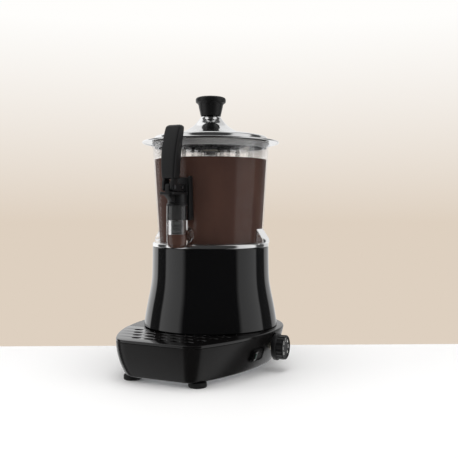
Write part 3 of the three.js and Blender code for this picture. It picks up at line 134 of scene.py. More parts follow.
# Column
COLUMN_LOW, COLUMN_HIGH = heights("column_housing")
COLUMN_FOOT = widest("column_housing")
COLUMN_TOP = COLUMN_FOOT - 13.2
COLUMN_DROP_SHARES = (0, 0.2, 0.41, 0.56, 0.69, 0.82, 0.95, 1)
COLUMN_FLARE_SHARES = (0, 0.02, 0.09, 0.29, 0.53, 0.75, 0.94, 1)
COLUMN_WALL = 3.0
COLUMN_EDGE = 1.4

# Lid, as radius and rise shares between the crown and the brim
LID_LOW, LID_CROWN = heights("lid")
LID_RADIUS = widest("lid")
LID_CROWN_RADIUS = 14.6
LID_BRIM = LID_LOW + 2.2
LID_SHEET = 1.2
LID_BEAD = 1.1
SKIRT_LIFT = 4.6
LID_RADIUS_SHARES = (0.01, 0.054, 0.146, 0.293, 0.414, 0.578, 0.7, 0.765, 0.795, 0.81, 0.825, 0.86, 0.985)
LID_RISE_SHARES = (0.975, 0.83, 0.61, 0.41, 0.345, 0.285, 0.235, 0.205, 0.165, 0.09, 0.03, 0.005, 0.0)
KNOB_RADIUS_SHARES = (0.664, 0.70, 0.745, 0.79, 0.83, 0.9, 0.98, 1.0, 1.0, 0.958, 0.831, 0.62, 0.3)
KNOB_RISE_SHARES = (0.02, 0.15, 0.3, 0.46, 0.6, 0.665, 0.71, 0.76, 0.86, 0.93, 0.974, 0.992, 1.0)

# Standpipe
PIPE_RADIUS = widest("standpipe")
PIPE_BORE = 8.0
PIPE_LOW, PIPE_HIGH = heights("standpipe")

# Bowl and what is in it
BOWL_LOW, BOWL_HIGH = heights("bowl")
BOWL_FOOT = 79.6
BOWL_RIM = 88.4
BOWL_WALL = 2.4
BOWL_LIP = 2.0
BOWL_LIP_HEIGHT = 3.2
LUG_REACH = 91.6
LUG_HEIGHT = 21.0
LUG_HALF_WIDTH = 13.0
CHOCOLATE_TOP = 308.0
WETTING = 0.1

# Rails on the bowl, and the tap's block between them
RAIL_LOW, RAIL_HIGH = 219.0, 281.0
RAIL_INNER, RAIL_OUTER = 10.2, 13.2
RAIL_ROOT, RAIL_FACE = 79.0, 94.0
BLOCK_LOW, BLOCK_HIGH = 240.0, 279.0
BLOCK_HALF_WIDTH = 9.8
BLOCK_BACK, BLOCK_FRONT = -86.9, -95.5

# Tap
TUBE_Y = -106.0
TUBE_LOW, TUBE_HIGH = heights("outlet_tube")
TUBE_RADIUS = 14.6
TUBE_BORE = 8.8
TUBE_OUTLET = 6.0
MOUTH_RADIUS = 12.8
STUB_HEIGHT = 198.0
STUB_RADIUS, STUB_BORE = 10.0, 7.0
SLEEVE_RADIUS = 12.9
LEDGE_LOW, LEDGE_HIGH = 254.0, 258.0
PISTON_LOW, PISTON_HIGH = 199.6, 219.4
PISTON_RADIUS = 8.3
RING_GROOVE, RING_HEIGHT = 7.3, 2.4
RING_LOWS = (202.6, 214.0)
SPRING_LOW, SPRING_HIGH = 220.4, 249.0
SPRING_TURNS, SPRING_RADIUS, SPRING_WIRE = 7, 6.0, 0.7

# Lever, with the grip's half width and half depth as shares along its rise
PIVOT_Y, PIVOT_Z = -128.5, 264.5
LEVER_EYE = 5.4
GRIP_LOW, GRIP_RISE = 276.0, 74.4
GRIP_HALF_WIDTH, GRIP_HALF_DEPTH = 12.2, 8.85
GRIP_RISES = (0, 0.015, 0.06, 0.15, 0.29, 0.42, 0.56, 0.7, 0.83, 0.92, 0.97, 1)
GRIP_WIDTHS = (0.74, 0.8, 0.83, 0.87, 0.92, 0.95, 0.965, 0.97, 0.965, 0.955, 0.91, 0.72)
GRIP_DEPTHS = (0.84, 0.96, 1, 1, 0.99, 0.98, 0.96, 0.93, 0.88, 0.8, 0.7, 0.42)

# Dial
DIAL_RIBS = 18
DIAL_FACE = 16.0
FIGURE_SIZE, FIGURE_REACH = 6.5, 10.6
FIGURE_X, FIGURE_Y, FIGURE_Z = 127.1, -13.0, 35.0
FIRST_FIGURE, FIGURE_STEP = 225, 45

# Cable gland
GLAND_FACE = 107.3
GLAND_HEIGHT = 28.0


# Outlines and profiles


def arc(x, y, radius, start, end, steps):
    """Points on a circle: the angle runs evenly from start to end."""
    angle = np.linspace(start, end, steps + 1)
    return np.stack([x + radius * np.cos(angle), y + radius * np.sin(angle)], 1)


def smooth_line(keys, steps):
    """A line through its keys: each stretch is the cubic whose slope at a key is half the chord between the
    key's neighbours."""
    keys = np.array(keys, float)
    padded = np.vstack([2 * keys[0] - keys[1], keys, 2 * keys[-1] - keys[-2]])
    place = np.linspace(0, len(keys) - 1, steps + 1)
    index = np.minimum(place.astype(int), len(keys) - 2)
    t = (place - index)[:, None]
    before, start, end, after = (padded[index + k] for k in range(4))
    return 0.5 * (
        2 * start
        + (end - before) * t
        + (2 * before - 5 * start + 4 * end - after) * t**2
        + (3 * start - before - 3 * end + after) * t**3
    )


def eased(corner_list, steps=EDGE_STEPS, closed=True):
    """Corners given as (x, y, radius), each replaced by an arc-like curve: the quadratic whose ends lie
    a tangent length before and after the corner."""
    given = np.array(corner_list, float)
    points = given[:, :2]
    made = []
    for i, (point, radius) in enumerate(zip(points, given[:, 2])):
        if radius == 0 or (not closed and i in (0, len(points) - 1)):
            made.append(point[None])
            continue
        back = points[i - 1] - point
        ahead = points[(i + 1) % len(points)] - point
        reach = [min(radius, np.linalg.norm(v) / 2) / np.linalg.norm(v) for v in (back, ahead)]
        start, end = point + back * reach[0], point + ahead * reach[1]
        t = np.linspace(0, 1, steps + 1)[:, None]
        made.append((1 - t) ** 2 * start + 2 * t * (1 - t) * point + t**2 * end)
    return np.vstack(made)


def rounded_box(length, width, corner, x, y):
    """The outline of a rectangle with eased corners about a point."""
    half_x, half_y = length / 2, width / 2
    sides = [(half_x, half_y), (-half_x, half_y), (-half_x, -half_y), (half_x, -half_y)]
    return eased([(x + dx, y + dy, corner) for dx, dy in sides])


def base_outline(rise, inset):
    """The base in plan: a rear half circle, two long side arcs and a straight front with round corners.
    Each radius shrinks with a power of the drop below the top, and with the inset. The power falls from
    the left to the right side, where the switch and the dial sit. The point on the grid's rear line comes
    twice, so that a wall can step there."""
    left, right = base_line((1 - rise) ** BULGE, inset), base_line((1 - rise) ** BULGE_AT_DIAL, inset)
    share = 0.5 + 0.5 * np.sin(np.clip(left[:, :1] / BASE_REAR, -1, 1) * math.pi / 2)
    return left + (right - left) * share


def base_line(draw, inset):
    """The base's outline where the wall has drawn in by a share of its full draft."""
    rear = BASE_REAR - SIDE_DRAFT * draw - inset
    side = BASE_SIDE + SIDE_EASING * draw - inset
    front = BASE_FRONT - FRONT_DRAFT * draw - inset
    corner = max(BASE_CORNER - CORNER_DRAFT * draw - inset, 2.0)
    side_x = rear - side
    corner_x = side_x + math.sqrt((side - corner) ** 2 - (front - corner) ** 2)
    meet = math.pi + math.asin((front - corner) / (side - corner))
    at_line = math.pi + math.asin(-GRID_LINE / side)
    left = np.vstack([
        arc(0, 0, rear, math.pi / 2, math.pi, REAR_STEPS)[:-1],
        arc(-side_x, 0, side, math.pi, at_line, SIDE_STEPS),
        arc(-side_x, 0, side, at_line, meet, SIDE_STEPS)[:-1],
        arc(-corner_x, corner - front, corner, meet, 1.5 * math.pi, CORNER_STEPS),
    ])
    return np.vstack([left, left[::-1] * (-1, 1)])


def ahead_of_line():
    """Which points of the outline belong to the part in front of the grid's rear line."""
    count = REAR_STEPS + 2 * SIDE_STEPS + CORNER_STEPS + 2
    left = np.arange(count) > REAR_STEPS + SIDE_STEPS
    return np.concatenate([left, left[::-1]])


def wall_x(y, height):
    """The side wall's X at a height: exact at the base's top, and close just below it."""
    draw = 1 - (height - BASE_LOW) / (BASE_HIGH - BASE_LOW)
    rear, side = BASE_REAR - SIDE_DRAFT * draw, BASE_SIDE + SIDE_EASING * draw
    return math.sqrt(rear**2 - y**2) if y > 0 else rear - side + math.sqrt(side**2 - y**2)


# Meshes


def cleaned(name, mesh, sharp=40.0, merge=1e-6):
    """The object of a mesh whose doubles are merged and whose faces point outwards."""
    work = bmesh.new()
    work.from_mesh(mesh)
    bmesh.ops.remove_doubles(work, verts=work.verts, dist=merge)
    bmesh.ops.dissolve_degenerate(work, edges=work.edges, dist=merge)
    bmesh.ops.recalc_face_normals(work, faces=work.faces)
    work.to_mesh(mesh)
    work.free()
    return linked(name, mesh, sharp)


def linked(name, mesh, sharp=40.0):
    """The object of a mesh, smooth but for edges sharper than the angle."""
    mesh.polygons.foreach_set("use_smooth", [True] * len(mesh.polygons))
    mesh.set_sharp_from_angle(angle=math.radians(sharp))
    piece = bpy.data.objects.new(name, mesh)
    bpy.context.scene.collection.objects.link(piece)
    return piece


def grid_faces(rows, columns, close_rows):
    """Quads between neighbours in a grid of points, wrapping round along each row, and from the last row
    to the first where the rows close."""
    i = np.arange(rows if close_rows else rows - 1)[:, None]
    j = np.arange(columns)[None]
    next_i, next_j = (i + 1) % rows, (j + 1) % columns
    quads = np.stack(np.broadcast_arrays(
        i * columns + j, next_i * columns + j, next_i * columns + next_j, i * columns + next_j
    ), -1)
    return quads.reshape(-1, 4)


def skin(name, grid, close_rows=False, sharp=40.0):
    """A surface over a grid of points in the working frame."""
    faces = grid_faces(*grid.shape[:2], close_rows)
    mesh = bpy.data.meshes.new(name)
    mesh.from_pydata(((grid.reshape(-1, 3) + AXIS) * MM).tolist(), [], faces.tolist())
    return cleaned(name, mesh, sharp)


def loft(name, rings):
    """A closed form over rings of equally many points, with a pole at the middle of each end."""
    first, last = rings[0].mean(0), rings[-1].mean(0)
    size = rings.shape[1:]
    ended = np.concatenate([np.broadcast_to(first, size)[None], rings, np.broadcast_to(last, size)[None]])
    return skin(name, ended)


def turned(name, profile, centre=(0.0, 0.0, 0.0), along="Z", steps=ROUND, sharp=40.0):
    """A turned form: each (radius, height) point of the profile goes round its axis. A profile that
    doesn't start and end on the axis is closed on itself."""
    radius, height = np.array(profile, float).T
    angle = np.linspace(0, FULL, steps, endpoint=False)[None]
    ring = [radius[:, None] * np.cos(angle), radius[:, None] * np.sin(angle), height[:, None] + 0 * angle]
    order = {"Z": (0, 1, 2), "Y": (1, 2, 0)}[along]
    grid = np.stack([ring[k] for k in order], -1) + np.array(centre, float)
    on_axis = radius[0] == 0 and radius[-1] == 0
    return skin(name, grid, close_rows=not on_axis, sharp=sharp)


def plate(name, outlines, low, high, edge, turn=None):
    """A flat piece with rounded edges: a filled outline with holes, raised from low to high along its
    own Z. Its first outline is the rim and the others are holes. turn takes its plane to the working
    frame."""
    curve = bpy.data.curves.new(name, "CURVE")
    curve.dimensions = "2D"
    curve.fill_mode = "BOTH"
    curve.extrude = (high - low) / 2 - edge
    curve.bevel_depth = edge
    curve.bevel_resolution = 3
    curve.offset = -edge
    for i, outline in enumerate(outlines):
        x, y = outline.T
        clockwise = (np.roll(x, -1) * y - np.roll(y, -1) * x).sum() > 0
        points = outline[::-1] if clockwise == (i == 0) else outline
        spline = curve.splines.new("POLY")
        spline.points.add(len(points) - 1)
        flat = np.column_stack([points, np.zeros(len(points)), np.ones(len(points))])
        spline.points.foreach_set("co", flat.ravel())
        spline.use_cyclic_u = True
    return from_curve(name, curve, (low + high) / 2, turn)


def from_curve(name, curve, lift, turn=None):
    """The curve's or text's own mesh, lifted, turned into the working frame and placed."""
    holder = bpy.data.objects.new(name + "_curve", curve)
    bpy.context.scene.collection.objects.link(holder)
    bpy.context.view_layer.update()
    mesh = bpy.data.meshes.new_from_object(holder.evaluated_get(bpy.context.evaluated_depsgraph_get()))
    bpy.data.objects.remove(holder)
    place = Matrix.Translation(Vector(AXIS)) @ (turn or Matrix()) @ Matrix.Translation((0, 0, lift))
    mesh.transform(Matrix.Scale(MM, 4) @ place)
    mesh.name = name
    return cleaned(name, mesh)


def frame_of(across, up, out):
    """The matrix whose columns are a plane's own X, Y and Z."""
    return Matrix((across, up, out)).transposed().to_4x4()


SIDE_ON = frame_of((0, 1, 0), (0, 0, 1), (1, 0, 0))


def joined(name, pieces):
    """Several closed forms made one piece."""
    work = bmesh.new()
    for piece in pieces:
        work.from_mesh(piece.data)
        bpy.data.objects.remove(piece)
    mesh = bpy.data.meshes.new(name)
    work.to_mesh(mesh)
    work.free()
    return linked(name, mesh)


def dress(piece, material, slot, body, *nodes):
    """Gives a piece its finish, the body it rides on and the CAD nodes it stands for. slot is not used."""
    piece.data.materials.clear()
    piece.data.materials.append(material)
    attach(piece, body)
    if nodes:
        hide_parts(*nodes)
    return piece


# Shader building


class Value:
    """A shader socket in arithmetic: each operator adds one Math node."""

    def __init__(self, finish, socket):
        self.finish, self.socket = finish, socket

    def math(self, operation, *others):
        """A Math node on this value and others."""
        sockets = dict(enumerate((self, *others)))
        return self.finish.node("ShaderNodeMath", {"operation": operation}, sockets)

    def __add__(self, other):
        return self.math("ADD", other)

    def __sub__(self, other):
        return self.math("SUBTRACT", other)

    def __mul__(self, other):
        return self.math("MULTIPLY", other)

    def __truediv__(self, other):
        return self.math("DIVIDE", other)

    __radd__, __rmul__ = __add__, __mul__


class Finish:
    """The node tree of a material or of the world."""

    def __init__(self, owner):
        self.owner = owner
        owner.use_nodes = True
        self.tree = owner.node_tree
        self.tree.nodes.clear()

    def node(self, kind, settings=None, sockets=None, output=0):
        """Any node: its settings first, then the values or links of its sockets. Gives one output."""
        made = self.tree.nodes.new(kind)
        for key, value in (settings or {}).items():
            if key == "stops":
                ramp = made.color_ramp.elements
                while len(ramp) < len(value):
                    ramp.new(1.0)
                for stop, (place, colour) in zip(ramp, value):
                    stop.position, stop.color = place, colour
            else:
                setattr(made, key, value)
        for key, value in (sockets or {}).items():
            if isinstance(value, Value):
                self.tree.links.new(value.socket, made.inputs[key])
            else:
                made.inputs[key].default_value = value
        return Value(self, made.outputs[output])

    def place(self):
        """The point on the piece, in metres."""
        return self.node("ShaderNodeTexCoord", output="Object")

    def part(self, vector, axis):
        """One coordinate of a vector: 0, 1 or 2."""
        return self.node("ShaderNodeSeparateXYZ", None, {0: vector}, output=axis)

    def noise(self, scale, detail=2.0, stretch=(1.0, 1.0, 1.0)):
        """Noise from 0 to 1, with about scale bumps in a metre along each unstretched direction."""
        where = self.node("ShaderNodeMapping", None, {"Vector": self.place(), "Scale": stretch})
        return self.node("ShaderNodeTexNoise", None, {"Vector": where, "Scale": scale, "Detail": detail})

    def blend(self, share, first, second):
        """A colour between two, each a colour or a link."""
        return self.node("ShaderNodeMix", {"data_type": "RGBA"}, {0: share, 6: first, 7: second}, output=2)

    def ramp(self, value, start, end, low=0.0, high=1.0):
        """A number that goes from low to high, and no further, while the value goes from start to end."""
        return self.node("ShaderNodeMapRange", None, {0: value, 1: start, 2: end, 3: low, 4: high})

    def bump(self, height, depth, strength=1.0):
        """A normal tilted by a height of so many metres."""
        return self.node("ShaderNodeBump", None, {"Height": height, "Distance": depth, "Strength": strength})

    def ray(self, kind):
        """1 for the rays of a kind and 0 for the others."""
        return self.node("ShaderNodeLightPath", output=f"Is {kind} Ray")

    def mix(self, share, first, second):
        """A shader between two."""
        return self.node("ShaderNodeMixShader", None, {0: share, 1: first, 2: second})

    def surface(self, constants, varying):
        """A Principled surface: constants are set on its sockets, and varying ones are linked."""
        return self.node("ShaderNodeBsdfPrincipled", None, {**constants, **varying})

    def output(self, shader):
        """Ends the tree with its shader, and gives the material or world."""
        kind = "World" if isinstance(self.owner, bpy.types.World) else "Material"
        made = self.tree.nodes.new("ShaderNodeOutput" + kind)
        self.tree.links.new(shader.socket, made.inputs["Surface"])
        return self.owner


def srgb(red, green, blue):
    """A colour written as 0 to 255 screen values, as linear shares."""
    shares = [c / 255 for c in (red, green, blue)]
    linear = [c / 12.92 if c <= 0.04045 else ((c + 0.055) / 1.055) ** 2.4 for c in shares]
    return (*linear, 1.0)


def toned(colour, share):
    """A colour made lighter or darker."""
    return [min(c * share, 1) for c in colour[:3]] + [1]


def moulded(name, colour, roughness, grain=0.00006, grain_scale=1500.0, spread=0.06, shine=0.5):
    """Moulded plastic: a fine even grain, with slow drifts in shade and gloss from handling."""
    finish = Finish(bpy.data.materials.new(name))
    drift = finish.noise(22.0, 3.0)
    grains = finish.noise(grain_scale, 1.0)
    shade = finish.blend(drift, toned(colour, 0.82), toned(colour, 1.2))
    gloss = (drift - 0.5) * spread + (grains - 0.5) * spread + roughness
    return finish.output(finish.surface(
        {"IOR": 1.5, "Specular IOR Level": shine},
        {"Base Color": shade, "Roughness": gloss, "Normal": finish.bump(grains, grain)},
    ))


def gloss_black():
    """Polished black plastic: deep colour, almost mirror smooth, with faint wiping marks up and down."""
    finish = Finish(bpy.data.materials.new("gloss_black"))
    wiping = finish.noise(60.0, 4.0, (1.0, 1.0, 0.15))
    haze = finish.noise(14.0, 2.0)
    colour = finish.blend(haze, srgb(5, 5, 6), srgb(9, 9, 10))
    return finish.output(finish.surface(
        {"IOR": 1.52},
        {"Base Color": colour, "Roughness": 0.035 + wiping * 0.05,
         "Normal": finish.bump(finish.noise(9.0, 1.0), 0.0004, 0.25)},
    ))


def steel(name, colour, low, high, rings=0.0, grain=0.0):
    """Steel: rings is the depth of the fine lines left by spinning, which follow the distance from the
    bowl's axis, and grain that of a plain brushed look."""
    finish = Finish(bpy.data.materials.new(name))
    to_axis = (-AXIS[0] * MM, -AXIS[1] * MM, 0)
    centred = finish.node("ShaderNodeMapping", None, {"Vector": finish.place(), "Location": to_axis})
    flat = finish.node("ShaderNodeVectorMath", {"operation": "MULTIPLY"}, {0: centred, 1: (1, 1, 0)})
    reach = finish.node("ShaderNodeVectorMath", {"operation": "LENGTH"}, {0: flat}, output="Value")
    height = finish.part(finish.place(), 2)
    line = finish.node("ShaderNodeCombineXYZ", None, {0: reach * 900, 1: height * 900, 2: 0.0})
    lines = finish.node("ShaderNodeTexNoise", None, {"Vector": line, "Scale": 1.0, "Detail": 3.0})
    smears = finish.noise(18.0, 3.0)
    roughness = low + (smears * 0.6 + lines * 0.4) * (high - low)
    return finish.output(finish.surface(
        {"Metallic": 1.0},
        {"Base Color": finish.blend(smears, toned(colour, 0.9), colour), "Roughness": roughness,
         "Normal": finish.bump(lines * rings + finish.noise(700.0, 2.0, (1, 1, 0.05)) * grain, 0.001)},
    ))


def clear_plastic(name, straight=(0.0, 0.0)):
    """Clear plastic that bends what is seen through it, and lets the lamps' light through. straight is the
    share that goes on unbent where the wall is seen face on and where it is seen edge on."""
    tint = (0.97, 0.975, 0.985, 1)
    finish = Finish(bpy.data.materials.new(name))
    marks = finish.noise(40.0, 3.0)
    body = finish.surface(
        {"Transmission Weight": 1.0, "IOR": 1.49, "Specular IOR Level": 0.14, "Base Color": tint},
        {"Roughness": marks * 0.03},
    )
    through = finish.node("ShaderNodeBsdfTransparent", None, {"Color": tint})
    facing = finish.node("ShaderNodeLayerWeight", output="Facing")
    body = finish.mix(finish.ramp(facing, 0.1, 0.7, *straight), body, through)
    return finish.output(finish.mix(finish.ray("Shadow"), body, through))


def chocolate():
    """Thick hot chocolate: brown with slow streaks from the stirring, and a faint shine."""
    finish = Finish(bpy.data.materials.new("chocolate"))
    streaks = finish.noise(26.0, 5.0, (1.0, 1.0, 0.35))
    fine = finish.noise(240.0, 3.0)
    colour = finish.blend(finish.ramp(streaks, 0.35, 0.65), srgb(66, 45, 38), srgb(76, 52, 43))
    return finish.output(finish.surface(
        {"IOR": 1.35, "Specular IOR Level": 0.2},
        {"Base Color": colour, "Roughness": 0.5 + fine * 0.1},
    ))


SATIN = moulded("satin_black", srgb(15, 14, 14), 0.24, 0.00003, shine=0.24)
SLEEK = moulded("sleek_black", srgb(11, 10, 10), 0.08, 0.00001, spread=0.02)
MATT = moulded("matt_black", srgb(17, 17, 18), 0.42, 0.00005, shine=0.36)
PISTON = moulded("piston_black", srgb(10, 10, 10), 0.5, 0.00003, shine=0.05)
GLOSS = gloss_black()
RUBBER = moulded("black_rubber", srgb(24, 24, 24), 0.7, 0.00008, 900.0, shine=0.3)
SILICONE = moulded("pale_silicone", srgb(214, 211, 204), 0.55, 0.00005)
BROWN_SEAL = moulded("brown_silicone", srgb(70, 48, 40), 0.45, 0.00005)
RESIN = moulded("pale_resin", srgb(222, 217, 203), 0.5, 0.00008)
MARKING = moulded("white_marking", srgb(225, 225, 222), 0.5, 0.00002)
LENS = moulded("green_lens", srgb(26, 52, 44), 0.4, 0.00002, shine=0.2)
GREY_SEAL = moulded("grey_silicone", srgb(150, 149, 147), 0.45, 0.00003)
POLISHED = steel("polished_steel", (0.80, 0.80, 0.80, 1), 0.07, 0.16, rings=0.012)
BRUSHED = steel("brushed_steel", (0.66, 0.67, 0.68, 1), 0.28, 0.42, rings=0.03, grain=0.02)
ZINC = steel("zinc_steel", (0.55, 0.56, 0.58, 1), 0.35, 0.55, grain=0.05)
CLEAR = clear_plastic("clear_plastic")
CLEAR_WALL = clear_plastic("clear_wall", straight=(0.35, 0.9))
DULL = steel("dull_steel", (0.16, 0.16, 0.17, 1), 0.4, 0.55, grain=0.04)
CHOCOLATE = chocolate()


# Base


def base_shell():
    """The housing: every outline point carries the same profile, up the wall and over the rounded top
    edge. Behind the grid's line the top goes on as a deck under the column. In front of it the wall
    stops below the grid."""
    quarter = np.linspace(0, math.pi / 2, EDGE_STEPS + 1)
    grids = []
    for top, edge in ((BASE_HIGH, BASE_EDGE), (GRID_LOW - SEAM, 0.6)):
        z = np.concatenate([[BASE_LOW + 6, BASE_LOW], BASE_LOW + BASE_EDGE * (1 - np.cos(quarter)),
                            np.linspace(BASE_LOW + 6, top - edge, 8)[:-1],
                            top - edge * (1 - np.sin(quarter)), [top, top - BASE_WALL]])
        inset = np.concatenate([[BASE_WALL, BASE_WALL], BASE_EDGE * (1 - np.sin(quarter)), np.zeros(7),
                                edge * (1 - np.cos(quarter)), [BASE_WALL, BASE_WALL]])
        shares = (z - BASE_LOW) / (BASE_HIGH - BASE_LOW)
        rings = np.stack([base_outline(share, step) for share, step in zip(shares, inset)])
        upright = np.broadcast_to(z[:, None, None], (*rings.shape[:2], 1))
        grids.append(np.concatenate([rings, upright], -1))
    rear, front = grids
    x, y = rear[8, :, 0], rear[8, :, 1]
    reach = np.hypot(x, y)
    inner_y = np.where(y > 0, y * DECK_RADIUS / reach, np.maximum(y, GRID_LINE))
    inner_x = np.sign(x) * np.sqrt(np.maximum(DECK_RADIUS**2 - inner_y**2, 0))
    rear[-2:, :, 0], rear[-2:, :, 1] = inner_x, inner_y
    grid = np.where(ahead_of_line()[None, :, None], front, rear)
    return skin("base_shell", grid, close_rows=True, sharp=32)


def crescent(height, line, near):
    """The outline of what lies in front of the column: the base's outline ahead of a line, closed by an
    arc that keeps its distance from the column's foot."""
    outline = base_outline((height - BASE_LOW) / (BASE_HIGH - BASE_LOW), 0.0)
    radius = COLUMN_FOOT + near
    start = math.asin(line / radius)
    hollow = arc(0, 0, radius, -math.pi - start, start, 64)
    front = outline[outline[:, 1] < line - 0.05]
    reach = wall_x(line, height)
    return np.vstack([[[-reach, line]], front, [[reach, line]], hollow[::-1]])


def drip_grid():
    """The grid: its rim follows the base in front of the line and the column's foot behind, and the
    slots stand in staggered rows wherever a whole slot fits."""
    rim = crescent((GRID_LOW + BASE_HIGH) / 2, GRID_LINE - SEAM, GRID_GAP)
    slots = [rounded_box(SLOT_LENGTH, SLOT_WIDTH, SLOT_CORNER, x, y) for x, y in slot_places()]
    return plate("grid_plate", [rim, *slots], GRID_LOW, BASE_HIGH, 0.8)


def slot_places():
    """The slots' middles: every second row is shifted by half the pitch."""
    near = COLUMN_FOOT + GRID_GAP + SLOT_LAND
    places = []
    for row in range(SLOT_ROWS):
        y = SLOT_FIRST_ROW + row * SLOT_ROW_PITCH
        front, back = y - SLOT_WIDTH / 2, y + SLOT_WIDTH / 2
        for i in range(-SLOT_COLUMNS, SLOT_COLUMNS + 1):
            x = (i + (row % 2) / 2) * SLOT_PITCH
            inner = max(abs(x) - SLOT_LENGTH / 2, 0)
            inside = abs(x) + SLOT_LENGTH / 2 < wall_x(front, BASE_HIGH) - GRID_MARGIN
            if inside and math.hypot(inner, back) > near and back < GRID_LINE - 0.4:
                places.append((x, y))
    return places


dress(base_shell(), SATIN, "satin_black", "base", "base_housing")
dress(drip_grid(), SLEEK, "satin_black", "drip_grid", "drip_grid")


# Column, pan and standpipe


def column():
    """The bell: its radius grows with the drop along a smooth line through the flare shares."""
    drop, flare = smooth_line(list(zip(COLUMN_DROP_SHARES, COLUMN_FLARE_SHARES)), 56)[::-1].T
    z = COLUMN_HIGH - (COLUMN_HIGH - COLUMN_LOW) * drop
    wall = np.column_stack([COLUMN_TOP + (COLUMN_FOOT - COLUMN_TOP) * flare, z])
    quarter = np.linspace(0, math.pi / 2, EDGE_STEPS + 1)
    low = np.column_stack([COLUMN_FOOT - COLUMN_EDGE * (1 - np.sin(quarter)),
                           COLUMN_LOW + COLUMN_EDGE * (1 - np.cos(quarter))])
    high = np.column_stack([COLUMN_TOP - COLUMN_EDGE * (1 - np.cos(quarter)),
                            COLUMN_HIGH - COLUMN_EDGE * (1 - np.sin(quarter))])
    middle = wall[(wall[:, 1] > COLUMN_LOW + COLUMN_EDGE) & (wall[:, 1] < COLUMN_HIGH - COLUMN_EDGE)]
    inside = middle[::-1] - (COLUMN_WALL, 0)
    lip, flange = COLUMN_TOP - 8.4, COLUMN_FOOT - 14.6
    seat = [(lip, COLUMN_HIGH), (lip, COLUMN_HIGH - 4), (COLUMN_TOP - COLUMN_WALL, COLUMN_HIGH - 6)]
    foot = [(COLUMN_FOOT - COLUMN_WALL, COLUMN_LOW + 3), (flange, COLUMN_LOW + 3), (flange, COLUMN_LOW)]
    profile = np.vstack([low, middle, high, seat, inside[1:-1], foot])
    return turned("column_bell", profile)


def pan():
    """The pan: a polished ring that closes the column, a flat dish in it, and a collar round the pipe."""
    ring_low, ring_high = COLUMN_HIGH + SEAM, BOWL_LOW - SEAM
    seat = COLUMN_TOP - 13.0
    dish = seat - 8.0
    dish_top = ring_high - 6.0
    collar = PIPE_RADIUS + SEAM
    profile = eased([
        (seat + 0.5, ring_low, 0.5), (COLUMN_TOP - 0.4, ring_low, 0.6), (COLUMN_TOP, ring_low + 0.6, 0.6),
        (COLUMN_TOP, ring_high - 1.2, 1.2), (COLUMN_TOP - 1.2, ring_high, 1.2), (seat, ring_high, 2),
        (dish, dish_top, 3), (collar + 3, dish_top, 2.5), (collar + 1.2, dish_top + 3, 1),
        (collar + 1.2, dish_top + 6, 0.4), (collar, dish_top + 6, 0.4), (collar, dish_top - 1.2, 0),
        (dish, dish_top - 1.2, 2), (seat - 0.6, ring_high - 1.2, 1), (seat + 0.5, ring_high - 1.2, 0),
    ])
    return turned("pan_ring", profile, sharp=30)


dress(column(), GLOSS, "gloss_black", "base", "column_housing")
dress(pan(), POLISHED, "polished_steel", "base", "heating_pan")
pipe = eased([(PIPE_BORE, PIPE_LOW, 0), (PIPE_RADIUS, PIPE_LOW, 0.5), (PIPE_RADIUS, PIPE_HIGH, 0.6),
              (PIPE_BORE, PIPE_HIGH, 0.3)])
dress(turned("pipe", pipe, steps=SMALL_ROUND), POLISHED, "polished_steel", "base", "standpipe")
gasket = [(74.2, BOWL_LOW, 0.5), (76.9, BOWL_LOW, 0.5), (76.9, BOWL_LOW + 6.5, 0.5),
          (75.4, BOWL_LOW + 6.5, 0.6), (73.9, BOWL_LOW + 3.25, 0.8)]
dress(turned("gasket", eased(gasket)), SILICONE, "pale_silicone", "base", "bowl_gasket")


# Bowl and chocolate


def bowl_radius(z):
    """The wall's outer radius, which grows evenly with the height."""
    return BOWL_FOOT + (BOWL_RIM - BOWL_FOOT) * (z - BOWL_LOW) / (BOWL_HIGH - BOWL_LOW)


def side_lug(side):
    """A lug is a block of the bowl's clear plastic that flares out over the pan's ring."""
    low = BOWL_LOW
    root = BOWL_FOOT + 0.05
    high = low + LUG_HEIGHT
    outline = eased([
        (root, low, 0), (LUG_REACH, low, 1.5), (LUG_REACH, low + 5.5, 2.5),
        (bowl_radius(high) + 0.05, high, 0.5),
    ])
    turn = frame_of((side, 0, 0), (0, 0, 1), (0, -side, 0))
    return plate("lug", [outline], -LUG_HALF_WIDTH, LUG_HALF_WIDTH, 1.2, turn)


def rail(side):
    """An upright bar on the wall, which holds the tap body at one side."""
    outline = eased([(RAIL_ROOT, RAIL_LOW, 0), (RAIL_FACE, RAIL_LOW, 1.5), (RAIL_FACE, RAIL_HIGH, 4.0),
                     (RAIL_ROOT, RAIL_HIGH, 0)])
    turn = frame_of((0, -1, 0), (0, 0, 1), (-1, 0, 0))
    low, high = sorted((-side * RAIL_INNER, -side * RAIL_OUTER))
    outline = np.column_stack([np.maximum(outline[:, 0], bowl_radius(outline[:, 1]) - 0.8), outline[:, 1]])
    return plate("rail", [outline], low, high, 0.5, turn)


def bowl():
    """The wall is a lathe form: straight and slightly wider upwards, with a rolled lip and a round rim."""
    low, high = BOWL_LOW, BOWL_HIGH
    lip_low = high - BOWL_LIP_HEIGHT
    lip = BOWL_RIM + BOWL_LIP
    profile = eased([
        (BOWL_FOOT - BOWL_WALL, low, 0.6), (BOWL_FOOT, low, 0.8),
        (bowl_radius(lip_low - 2.5), lip_low - 2.5, 2.0), (lip, lip_low, 0.8), (lip, high, 1.1),
        (BOWL_RIM - BOWL_WALL, high, 1.2),
    ], steps=6)
    return turned("bowl_clear", profile)


